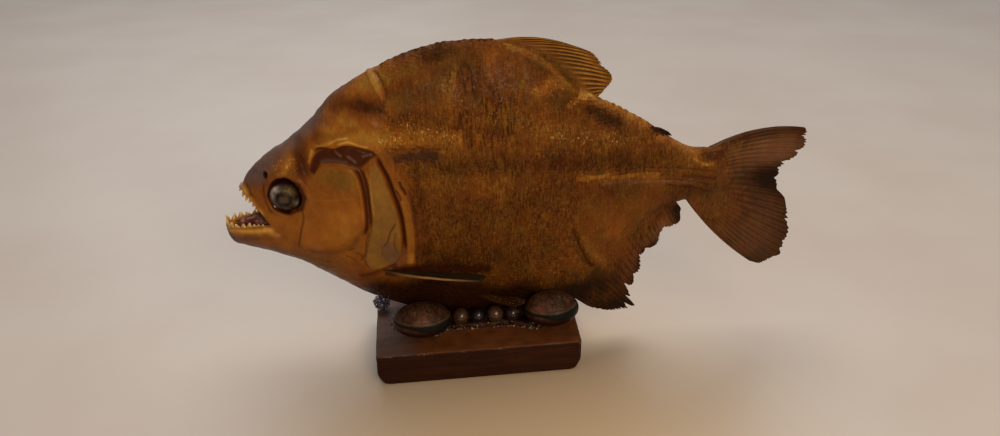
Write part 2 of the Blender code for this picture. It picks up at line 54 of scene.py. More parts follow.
# ---- the form of the fish, as in the solids ----
#    x_top  z_top  x_low  z_low  half  widest flat  back  belly
STATIONS = np.array([
    (-77.2,  71.5, -85.0,  57.7,   1.6, 0.72, 2.0, 2.0, 2.0),
    (-76.5,  73.5, -84.4,  53.7,   3.8, 0.72, 2.0, 2.0, 2.0),
    (-74.8,  76.3, -82.6,  50.9,   5.0, 0.70, 2.0, 2.0, 2.0),
    (-71.8,  79.6, -79.4,  49.3,   6.3, 0.60, 2.3, 2.0, 2.0),
    (-67.0,  83.1, -74.4,  47.8,   7.8, 0.52, 2.6, 2.0, 2.0),
    (-60.0,  87.4, -67.0,  45.0,   9.6, 0.45, 2.9, 1.9, 2.0),
    (-52.5,  93.3, -57.5,  40.1,  11.1, 0.46, 2.8, 1.8, 1.9),
    (-45.5, 100.9, -48.5,  33.5,  12.2, 0.47, 2.7, 1.7, 1.8),
    (-38.0, 106.1, -39.5,  27.1,  12.8, 0.46, 2.6, 1.6, 1.6),
    (-28.0, 111.2, -28.5,  21.3,  12.9, 0.45, 2.6, 1.5, 1.4),
    (-15.0, 115.9, -15.0,  16.5,  12.6, 0.43, 2.5, 1.4, 1.3),
    (  0.0, 117.9,   0.0,  14.6,  12.0, 0.42, 2.5, 1.4, 1.3),
    ( 10.0, 117.5,  12.0,  14.5,  11.4, 0.42, 2.4, 1.4, 1.3),
    ( 20.0, 114.1,  24.0,  14.6,  10.6, 0.42, 2.3, 1.4, 1.3),
    ( 30.0, 107.7,  34.0,  17.1,   9.4, 0.42, 2.2, 1.4, 1.3),
    ( 40.0,  98.7,  43.0,  24.1,   8.0, 0.42, 2.1, 1.5, 1.3),
    ( 50.0,  93.7,  51.0,  33.7,   6.8, 0.44, 2.1, 1.5, 1.4),
    ( 60.0,  88.1,  60.0,  44.3,   5.8, 0.46, 2.1, 1.6, 1.5),
    ( 70.0,  81.1,  69.5,  53.1,   4.9, 0.48, 2.1, 1.8, 1.7),
    ( 78.0,  76.7,  77.5,  55.6,   4.3, 0.50, 2.2, 2.0, 2.0),
    ( 84.0,  76.0,  83.5,  55.7,   3.8, 0.50, 2.3, 2.0, 2.0),
    ( 88.0,  75.5,  88.0,  57.1,   3.0, 0.50, 2.4, 2.0, 2.0),
])
SECTION_POINTS = 80
COAT_DEPTH = 0.22             # the skin lies this far inside the solids, under its scales
SKIN_GRID = 0.32
SKIN_TRIANGLES = 195000
# Fins with a fleshy root: how far up the fin it reaches, and its thickness.
FIN_ROOTS = (("tail_fin", 0.30, 5.4), ("dorsal_fin", 0.16, 2.6), ("anal_fin", 0.20, 3.0))
UPPER_RIM = [(-68.5, 59.6), (-69.7, 61.5), (-71.8, 64.7), (-74.0, 68.0), (-76.1, 70.0), (-78.0, 71.9)]
LOWER_RIM = [(-68.5, 59.4), (-74.0, 58.7), (-79.0, 58.0), (-84.2, 57.6)]
FRONT = -95.0                 # an x ahead of the snout
MOUTH_HOLLOW = [(FRONT, 66.7), (-75.6, 68.1), (-75.2, 70.9), (-72.0, 71.1), (-66.5, 68.3), (-61.8, 64.3),
                (-60.0, 60.7), (-62.0, 57.7), (-68.0, 54.9), (-75.0, 53.7), (-81.0, 53.9), (-82.8, 56.1),
                (FRONT, 58.7)]
JAW_WALL = 1.9
EYE = (-61.6, 70.3)
EYE_SOCKET = 6.5
SOCKET_DEPTH = 3.4
FAR = 30.0                    # a y outside both flanks


# ---- numbers: smooth curves, soft steps and noise ----
def smoothstep(low, high, value):
    f = np.clip((value - low) / (high - low), 0.0, 1.0)
    return f * f * (3.0 - 2.0 * f)


def bell(a, b=0.0):
    """1 where both are 0, falling away towards 0 as either grows past 1."""
    return np.exp(-a ** 2 - b ** 2)


def curve(points, steps):
    """The smooth curve through the points, sampled at equal steps."""
    points = np.asarray(points, dtype=float)
    padded = np.vstack([2 * points[0] - points[1], points, 2 * points[-1] - points[-2]])
    t = np.linspace(0.0, len(points) - 1, steps)
    i = np.minimum(t.astype(int), len(points) - 2)
    f = (t - i)[:, None]
    before, a, b, after = padded[i], padded[i + 1], padded[i + 2], padded[i + 3]
    return 0.5 * (2 * a + (b - before) * f + (2 * before - 5 * a + 4 * b - after) * f ** 2
                  + (3 * a - before - 3 * b + after) * f ** 3)


def noise(points, size, seed):
    """Smooth noise from -1 to 1, its lumps about that size, at each row of points."""
    table = np.random.default_rng(seed).uniform(-1.0, 1.0, 4096)
    p = np.asarray(points, dtype=float) / size
    cell = np.floor(p).astype(np.int64)
    f = p - cell
    f = f * f * (3.0 - 2.0 * f)
    total = np.zeros(len(p))
    for corner in itertools.product((0, 1), repeat=p.shape[1]):
        key = (cell + corner) @ np.array((73856093, 19349663, 83492791))[:p.shape[1]]
        weight = np.prod(np.where(corner, f, 1.0 - f), axis=1)
        total += weight * table[(key ^ (key >> 13)) & 4095]
    return total


def lengths_along(path):
    """How far along a path in space each of its points is."""
    return np.concatenate([[0.0], np.cumsum(np.linalg.norm(np.diff(path, axis=0), axis=1))])


def point_at(arc, reached, path):
    """The point of a path at a distance along it, or one for each distance."""
    return np.stack([np.interp(arc, reached, column) for column in path.T], axis=-1)


def nearest_on(path, x, z):
    """Distance of side-view points from a path, and how far along it, from 0 to 1, each is nearest."""
    path = np.asarray(path, dtype=float)
    steps = np.hypot(*np.diff(path, axis=0).T)
    reached = np.concatenate([[0.0], np.cumsum(steps)]) / steps.sum()
    best = np.full(x.shape, 1e9)
    along = np.zeros(x.shape)
    for (ax, az), (bx, bz), start, end in zip(path[:-1], path[1:], reached[:-1], reached[1:]):
        ex, ez = bx - ax, bz - az
        f = np.clip(((x - ax) * ex + (z - az) * ez) / (ex * ex + ez * ez), 0.0, 1.0)
        d = np.hypot(x - ax - f * ex, z - az - f * ez)
        closer = d < best
        best = np.where(closer, d, best)
        along = np.where(closer, start + (end - start) * f, along)
    return best, along


def depth_in(outline, x, z):
    """How far side-view points are inside a closed outline; less than 0 outside."""
    outline = np.asarray(outline, dtype=float)
    closed = np.vstack([outline, outline[:1]])
    inside = np.zeros(x.shape, dtype=bool)
    for (ax, az), (bx, bz) in zip(closed[:-1], closed[1:]):
        if az != bz:
            inside ^= ((az > z) != (bz > z)) & (x < ax + (z - az) * (bx - ax) / (bz - az))
    distance = nearest_on(closed, x, z)[0]
    return np.where(inside, distance, -distance)


def fullness(t, row):
    """Half width of a section at t, from 0 at its top point to 1 at its bottom point."""
    half, widest, flat, back, belly = (row[..., k] for k in range(4, 9))
    upper = t < widest
    u = np.clip(np.abs(t - widest) / np.where(upper, widest, 1.0 - widest), 0.0, 1.0)
    return half * np.maximum(1.0 - u ** flat, 0.0) ** (1.0 / np.where(upper, back, belly))


PROFILE = curve(STATIONS, 801)


def place_on(x, z):
    """Station number and place down its section (0 to 1) of side-view points."""
    x, z = np.atleast_1d(x).astype(float), np.atleast_1d(z).astype(float)
    down = PROFILE[:, 2:4] - PROFILE[:, 0:2]
    length = np.hypot(down[:, 0], down[:, 1])
    row = np.empty(len(x), dtype=int)
    for start in range(0, len(x), 20000):
        part = slice(start, start + 20000)
        ahead = (x[part, None] - PROFILE[:, 0]) * down[:, 1] - (z[part, None] - PROFILE[:, 1]) * down[:, 0]
        row[part] = np.argmin(np.abs(ahead / length), axis=1)
    t = (z - PROFILE[row, 1]) / down[row, 1]
    return row, np.clip(t, 0.0, 1.0)


def half_width(x, z):
    """Half width of the whole body at side-view points."""
    row, t = place_on(x, z)
    return fullness(t, PROFILE[row])


def back_line(x):
    """Height of the back's profile."""
    return np.interp(x, PROFILE[:, 0], PROFILE[:, 1])


def belly_line(x):
    """Height of the belly's profile."""
    return np.interp(x, PROFILE[:, 2], PROFILE[:, 3])


# ---- making meshes ----
def new_object(name, points, faces, look=None, smooth=True):
    """Mesh object in the scene, from points in millimetres."""
    mesh = bpy.data.meshes.new(name)
    points = np.asarray(points, dtype=float) * MM
    mesh.from_pydata(points.tolist(), [], [tuple(int(k) for k in face) for face in faces])
    obj = bpy.data.objects.new(name, mesh)
    bpy.context.scene.collection.objects.link(obj)
    if look:
        mesh.materials.append(look)
    if smooth:
        mesh.shade_smooth()
    return obj


def joined(name, parts, look):
    """One object from several (points, faces) pairs."""
    points, faces, start = [], [], 0
    for part_points, part_faces in parts:
        points.append(np.asarray(part_points))
        faces.extend([tuple(start + int(k) for k in face) for face in part_faces])
        start += len(part_points)
    return new_object(name, np.vstack(points), faces, look)


def outward(obj):
    """Turns a closed mesh's faces outwards."""
    work = bmesh.new()
    work.from_mesh(obj.data)
    bmesh.ops.recalc_face_normals(work, faces=work.faces)
    work.to_mesh(obj.data)
    work.free()
    return obj


def tree_of(obj):
    """Search tree of a mesh's faces, in metres."""
    work = bmesh.new()
    work.from_mesh(obj.data)
    tree = BVHTree.FromBMesh(work)
    work.free()
    return tree


def ball(create, **size):
    """Points and faces of a ball of radius 1, from one of Blender's ways to create it."""
    work = bmesh.new()
    create(work, radius=1.0, **size)
    points = np.array([vert.co for vert in work.verts])
    faces = [[vert.index for vert in face.verts] for face in work.faces]
    work.free()
    return points, faces


def ellipsoid(name, centre, radii, around, rings, look=None):
    points, faces = ball(bmesh.ops.create_uvsphere, u_segments=around, v_segments=rings)
    return new_object(name, points * radii + centre, faces, look)


def points_of(obj):
    """A mesh's points in millimetres."""
    flat = np.empty(len(obj.data.vertices) * 3)
    obj.data.vertices.foreach_get("co", flat)
    return flat.reshape(-1, 3) / MM


def set_points(obj, points):
    obj.data.vertices.foreach_set("co", (np.asarray(points) * MM).ravel())
    obj.data.update()


def normals_of(obj):
    flat = np.empty(len(obj.data.vertices) * 3, dtype=np.float32)
    obj.data.vertex_normals.foreach_get("vector", flat)
    return flat.reshape(-1, 3).astype(float)


def paint(obj, **values):
    """Stores numbers from 0 to 1 on a mesh's points, for its material to read by name."""
    for name, numbers in values.items():
        layer = obj.data.attributes.new(name, "FLOAT", "POINT")
        layer.data.foreach_set("value", np.broadcast_to(numbers, len(obj.data.vertices)).astype(np.float32))


def settle(obj):
    """Replaces an object's mesh with what its modifiers make of it."""
    depsgraph = bpy.context.evaluated_depsgraph_get()
    made = bpy.data.meshes.new_from_object(obj.evaluated_get(depsgraph))
    obj.modifiers.clear()
    old = obj.data
    obj.data = made
    bpy.data.meshes.remove(old)


def finish_with(obj, look):
    obj.data.materials.append(look)
    obj.data.shade_smooth()


def tube_faces(n, rings):
    """Faces through rings of n points each, and the two ends."""
    k = np.arange(n)
    after = (k + 1) % n
    faces = []
    for i in range(0, (rings - 1) * n, n):
        faces.extend(np.stack([i + k, i + after, i + n + after, i + n + k], 1))
    return faces + [range(n), range((rings - 1) * n, rings * n)]


def loft(name, loops, look=None):
    """Closed mesh through loops with equal numbers of points."""
    return outward(new_object(name, np.concatenate(loops), tube_faces(len(loops[0]), len(loops)), look))


def prism(name, outline):
    """Cutter with a side-view outline, running across the fish."""
    outline = np.asarray(outline)
    return loft(name, [np.column_stack([outline[:, 0], np.full(len(outline), y), outline[:, 1]])
                       for y in (-FAR, FAR)])


def boolean(obj, operation, other):
    """Joins another object to a mesh or cuts it away, once the mesh is settled."""
    step = obj.modifiers.new(operation, "BOOLEAN")
    step.operation = operation
    step.object = other


def remesh(obj, size, smoothing):
    """Rebuilds a closed mesh in even squares of a size in millimetres, and relaxes it."""
    step = obj.modifiers.new("even", "REMESH")
    step.mode = "VOXEL"
    step.voxel_size = size * MM
    step = obj.modifiers.new("relax", "SMOOTH")
    step.factor = 0.5
    step.iterations = smoothing
    settle(obj)


def two_sided(name, columns, rows, front, back, look=None):
    """Closed mesh between two sheets of points, each numbered column by column."""
    n = columns * rows
    i, j = np.meshgrid(np.arange(columns - 1), np.arange(rows - 1), indexing="ij")
    a = (i * rows + j).ravel()
    sheet = np.stack([a, a + 1, a + rows + 1, a + rows], 1)
    rim = np.concatenate([np.arange(columns) * rows, (columns - 1) * rows + np.arange(1, rows),
                          np.arange(columns - 2, -1, -1) * rows + rows - 1, np.arange(rows - 2, 0, -1)])
    onward = np.roll(rim, -1)
    faces = np.vstack([sheet, n + sheet[:, ::-1], np.stack([rim, onward, n + onward, n + rim], 1)])
    return outward(new_object(name, np.vstack([front, back]), faces, look))


def corners_of(node):
    """Low and high corner of a solid's box, in millimetres."""
    return [np.array(corner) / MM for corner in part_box(node)]


def box_of(node):
    """Middle and half size of a solid's box, in millimetres."""
    low, high = corners_of(node)
    return 0.5 * (low + high), 0.5 * (high - low)


# ---- the skin ----
def section(row, count, inset=0.0):
    """Closed loop of points round a section of the body."""
    t = 0.5 - 0.5 * np.cos(np.pi * np.arange(count + 1) / count)
    y = np.maximum(fullness(t, row) - inset, 0.02 * np.sin(np.pi * t))
    y[0] = y[-1] = 0.0
    x = row[0] + (row[2] - row[0]) * t
    z = row[1] + (row[3] - row[1]) * t
    left = np.column_stack([x, -y, z])
    right = np.column_stack([x, y, z])[1:-1]
    return np.vstack([left, right[::-1]])


# What the dried surface shows in side view, with some light and shade painted into it. Each groove is a path
# with its half width and depth (less than 0 for a ridge), each plate a closed outline with its rise and its
# edge's width, and each blot a path with its width. Tone is added to the skin's own, dark to amber, and the
# rest is laid over it: umber is dark red, grey is bare and ashen, and on the snout, forehead and chin partly
# a painted sheen, olive is greenish gold and glint is painted highlights, laid as pale specks.
GROOVES = {
    "preopercle": ([(-39.4, 80.9), (-37.4, 77.8), (-36.5, 74.4), (-36.0, 70.0), (-35.9, 65.0),
        (-36.1, 60.0), (-37.0, 56.8), (-38.8, 54.8)], 0.55, 0.80, dict(umber=1.0)),
    "preopercle strip": ([(-37.6, 81.0), (-36.0, 77.6), (-35.2, 73.0), (-35.0, 67.0), (-35.0, 62.0),
        (-35.4, 57.6)], 0.50, 0.70, dict(umber=0.95)),
    "preopercle crest": ([(-35.4, 79.0), (-34.4, 76.0), (-34.0, 70.0), (-33.9, 62.0)], 0.42, -0.35,
        dict(tone=0.16)),
    "cheek rim": ([(-41.4, 80.4), (-38.6, 77.4), (-37.6, 73.0), (-37.1, 66.0), (-37.3, 60.0)], 0.40, -0.22,
        dict(tone=0.10)),
    "preopercle end": ([(-35.6, 57.0), (-37.0, 53.0), (-37.4, 49.6), (-38.2, 47.0), (-40.2, 44.8)], 0.22,
        0.35, dict(umber=0.60)),
    "gill slit": ([(-33.4, 83.9), (-31.3, 83.4), (-29.9, 80.2), (-28.3, 76.4), (-27.1, 72.0), (-25.9, 67.6),
        (-25.1, 64.0), (-24.5, 60.0), (-24.2, 55.0), (-24.2, 50.0), (-24.6, 46.6)], 0.60, 1.30,
        dict(umber=1.0)),
    # Painted shadow: the umber in this shallow groove is the gill cover's shadow along its lower edge.
    "shadow under cover": ([(-27.0, 42.8), (-29.6, 41.4), (-32.4, 40.2), (-36.0, 38.6), (-41.6, 37.2)], 0.90, 0.70,
        dict(umber=0.55)),
    "cheek crack": ([(-57.0, 66.4), (-56.9, 63.0), (-58.2, 58.4), (-59.4, 54.0), (-60.2, 50.6)], 0.24, 0.45,
        dict(umber=0.65)),
    "cheek seam": ([(-53.6, 69.5), (-47.0, 69.2), (-37.6, 69.6)], 0.25, 0.08, dict(tone=0.08)),
    "cheek foot": ([(-57.6, 49.4), (-52.0, 48.6), (-46.6, 49.0), (-42.4, 51.0), (-40.2, 53.6),
        (-39.0, 56.0)], 0.85, 0.40, dict(tone=0.06, umber=0.42)),
    "foot crack": ([(-43.8, 49.2), (-42.2, 50.2), (-41.2, 50.6)], 0.20, 0.30, dict(umber=0.70)),
    "opercle seam": ([(-26.4, 60.0), (-28.6, 56.4), (-29.8, 53.0), (-31.8, 50.0)], 0.24, 0.40,
        dict(umber=0.75)),
    "second opercle seam": ([(-27.0, 56.4), (-27.6, 51.0), (-26.8, 47.4)], 0.20, 0.30, dict(umber=0.55)),
    "throat crack": ([(-44.8, 47.8), (-42.4, 46.4), (-40.6, 44.0)], 0.22, 0.35, dict(umber=0.60)),
    "second throat crack": ([(-54.8, 46.4), (-52.0, 44.8), (-49.6, 44.4)], 0.22, 0.30, dict(umber=0.50)),
    "third throat crack": ([(-41.2, 49.0), (-39.4, 47.6), (-38.4, 45.4)], 0.20, 0.30, dict(umber=0.60)),
    "throat seam": ([(-38.4, 45.6), (-37.6, 42.6), (-35.4, 39.6)], 0.25, 0.30, dict(umber=0.35)),
    "jaw seam": ([(-67.4, 58.6), (-65.6, 55.2), (-62.6, 51.0), (-60.4, 46.5)], 0.45, 0.25,
        dict(umber=0.12)),
    "snout groove": ([(-69.4, 75.0), (-69.2, 71.5), (-68.6, 67.6), (-67.4, 63.8)], 0.45, 0.45,
        dict(umber=0.55)),
    "lip edge": ([(-75.6, 73.6), (-74.3, 71.2), (-73.4, 69.2)], 0.45, 0.40, dict(umber=0.55)),
    "under lip": ([(-84.0, 54.2), (-80.6, 53.7), (-76.0, 53.6), (-71.4, 54.4)], 0.40, 0.22,
        dict(umber=0.30)),
    "recess roof": ([(-51.6, 84.4), (-50.2, 86.0), (-47.6, 86.5), (-44.6, 86.1), (-41.2, 87.1),
        (-38.0, 86.6), (-35.0, 85.7), (-32.0, 85.3)], 0.36, 0.75, dict(umber=1.0)),
    "brow": ([(-67.6, 75.9), (-64.8, 78.3), (-61.0, 79.1), (-57.4, 77.8), (-55.2, 74.6)], 0.6, 0.22,
        dict(umber=0.15)),
    "brow fold": ([(-56.4, 84.8), (-55.2, 81.4), (-54.2, 77.6)], 0.55, 0.30, dict(umber=0.40)),
    "yellow fold": ([(-53.4, 81.4), (-52.4, 84.2), (-51.4, 86.2)], 0.55, -0.55, dict(tone=0.30)),
    # The first, second and third folds are ridges painted lighter and greyer: painted highlights on them.
    "first fold": ([(-44.6, 86.0), (-43.6, 84.6), (-42.4, 83.4)], 0.30, -0.45, dict(tone=0.22, grey=0.50)),
    "recess lip": ([(-50.0, 82.0), (-46.4, 82.4), (-42.4, 82.1), (-40.0, 81.2)], 0.45, 0.10,
        dict(grey=0.40)),
    "second fold": ([(-41.2, 84.0), (-39.2, 82.6), (-37.8, 81.0)], 0.32, -0.45, dict(tone=0.20, grey=0.45)),
    "third fold": ([(-36.2, 83.4), (-34.2, 84.0), (-32.2, 84.2)], 0.35, -0.40, dict(tone=0.26, grey=0.60)),
    "upper ridge": ([(-51.4, 87.0), (-47.0, 87.8), (-43.4, 89.4), (-39.4, 89.9)], 0.36, -0.65,
        dict(tone=0.28)),
    "lower ridge": ([(-44.2, 87.7), (-40.0, 88.6), (-36.4, 87.4), (-33.2, 86.6)], 0.36, -0.60,
        dict(tone=0.28)),
    "shoulder edge": ([(-22.4, 72.6), (-20.9, 68.0), (-20.3, 61.0), (-19.9, 52.0), (-20.2, 45.6),
        (-21.2, 41.4)], 0.50, 0.45, dict(umber=0.38)),
    "dry crack": ([(-24.6, 75.0), (-23.9, 72.4), (-23.2, 71.4), (-22.6, 69.4)], 0.34, 0.6, dict(umber=1.0)),
    "second dry crack": ([(-26.2, 71.6), (-24.8, 69.8), (-24.4, 67.6)], 0.26, 0.4, dict(umber=0.8)),
    "nape crease": ([(-30.6, 109.6), (-28.4, 107.4), (-27.0, 104.2), (-26.6, 101.4)], 0.45, 0.45,
        dict(umber=0.40)),
    "nape wrinkle": ([(-30.0, 98.4), (-27.6, 96.8), (-25.8, 95.4)], 0.5, 0.35, dict(umber=0.30)),
    "flank fold": ([(34.6, 51.6), (37.0, 45.4), (40.2, 38.4), (42.8, 33.2), (45.0, 30.6)], 0.75, 0.75,
        dict(umber=0.60)),
    "flank edge": ([(-28.0, 85.8), (-20.3, 85.5), (-12.0, 85.0), (-6.0, 84.4)], 0.40, 0.35,
        dict(umber=0.35)),
    "flank line": ([(21.0, 81.6), (28.0, 80.8), (37.0, 79.6)], 0.40, 0.25, dict(umber=0.30)),
    "fin foot ridge": ([(9.0, 116.6), (16.0, 114.4), (21.6, 112.0), (27.4, 107.8), (33.6, 101.6),
        (37.2, 98.0)], 0.75, -0.55, dict(tone=0.20, olive=0.5, glint=0.10)),
    "slanting ridge": ([(18.4, 105.4), (16.4, 101.6), (15.4, 97.4), (15.0, 93.6)], 0.55, -0.35,
        dict(tone=0.16)),
    "pale ridge": ([(-3.6, 111.0), (-6.0, 106.0), (-7.0, 100.0)], 0.50, -0.30, dict(tone=0.16, olive=0.4)),
    "tail crease": ([(68.0, 64.4), (76.0, 62.6), (83.0, 60.8), (89.0, 58.4)], 0.45, 0.40, dict(umber=0.55)),
    "second tail crease": ([(74.0, 67.0), (81.0, 66.0), (90.0, 64.4)], 0.55, 0.40, dict(umber=0.60)),
    "third tail crease": ([(60.0, 71.4), (70.0, 70.4), (78.0, 69.4), (90.0, 67.0)], 0.35, 0.32,
        dict(umber=0.45)),
    "fourth tail crease": ([(64.0, 66.6), (72.0, 65.8), (80.0, 64.0), (88.0, 62.0)], 0.35, 0.30,
        dict(umber=0.45)),
    "stalk ridge": ([(78.6, 73.2), (82.8, 70.6), (87.6, 70.2)], 0.55, -0.35, dict(tone=0.22, glint=0.5)),
}
PLATES = {
    "cheek": ([(-57.0, 66.4), (-56.2, 71.5), (-54.4, 76.2), (-51.4, 79.6), (-48.0, 80.8), (-44.0, 80.8),
        (-40.6, 79.6), (-38.2, 76.8), (-36.9, 72.0), (-36.7, 64.6), (-37.2, 59.0), (-38.9, 56.2),
        (-42.0, 53.8), (-47.0, 51.4), (-53.0, 50.2), (-59.6, 50.6), (-58.6, 57.0), (-57.2, 62.4)], 0.40,
        1.3, dict(tone=0.05)),
    "opercle": ([(-34.0, 80.4), (-34.3, 70.0), (-34.1, 61.0), (-35.2, 56.0), (-37.0, 50.0), (-37.8, 45.0),
        (-36.6, 41.4), (-32.6, 41.4), (-28.4, 43.0), (-25.6, 46.4), (-25.2, 54.0), (-25.6, 60.0),
        (-26.4, 65.0), (-28.2, 71.4), (-29.8, 77.0), (-31.6, 81.6)], 0.50, 0.9,
        dict(tone=0.06, olive=0.85, grey=0.09)),
    "shoulder": ([(-25.2, 72.4), (-22.6, 69.6), (-21.3, 65.0), (-20.7, 58.0), (-20.5, 50.0), (-21.2, 42.6),
        (-24.2, 42.4), (-23.6, 48.0), (-23.5, 56.0), (-24.0, 62.0)], 0.50, 0.8,
        dict(tone=0.10, olive=0.35)),
    "recess": ([(-53.2, 79.0), (-52.0, 82.8), (-50.6, 85.0), (-48.2, 86.3), (-44.6, 86.0), (-41.2, 87.0),
        (-38.0, 86.4), (-35.0, 85.6), (-32.2, 85.2), (-31.2, 83.8), (-33.4, 82.8), (-35.6, 80.8),
        (-37.2, 79.6), (-39.2, 80.6), (-42.4, 81.8), (-46.4, 82.0), (-49.4, 81.8), (-50.6, 80.0),
        (-51.8, 78.2)], -0.95, 0.8, dict(umber=0.90)),
    "lobe": ([(-49.0, 92.0), (-47.0, 97.0), (-40.0, 97.6), (-33.0, 96.6), (-30.0, 93.6), (-31.0, 90.0),
        (-37.0, 90.6), (-43.0, 90.6)], 0.35, 2.6, {}),
    "nape ridge": ([(-33.4, 109.6), (-31.4, 109.2), (-29.2, 106.4), (-27.6, 101.6), (-28.4, 100.6),
        (-29.6, 103.0), (-31.6, 106.4)], 0.45, 0.9, dict(tone=0.13, grey=0.10)),
    # Painted shade: the socket is painted dark umber, so the gap round the eyeball shows dark.
    "eye socket": ([(-68.4, 70.3), (-66.4, 75.1), (-61.6, 77.3), (-56.8, 75.1), (-54.8, 70.3),
        (-56.8, 65.5), (-61.6, 63.5), (-66.4, 65.5)], 0.0, 0.9, dict(umber=0.92)),
    "tail pit": ([(81.6, 74.0), (86.0, 74.8), (91.0, 74.6), (91.0, 71.8), (86.6, 71.6), (83.0, 72.2)], -0.7,
        0.9, dict(umber=0.60)),
}
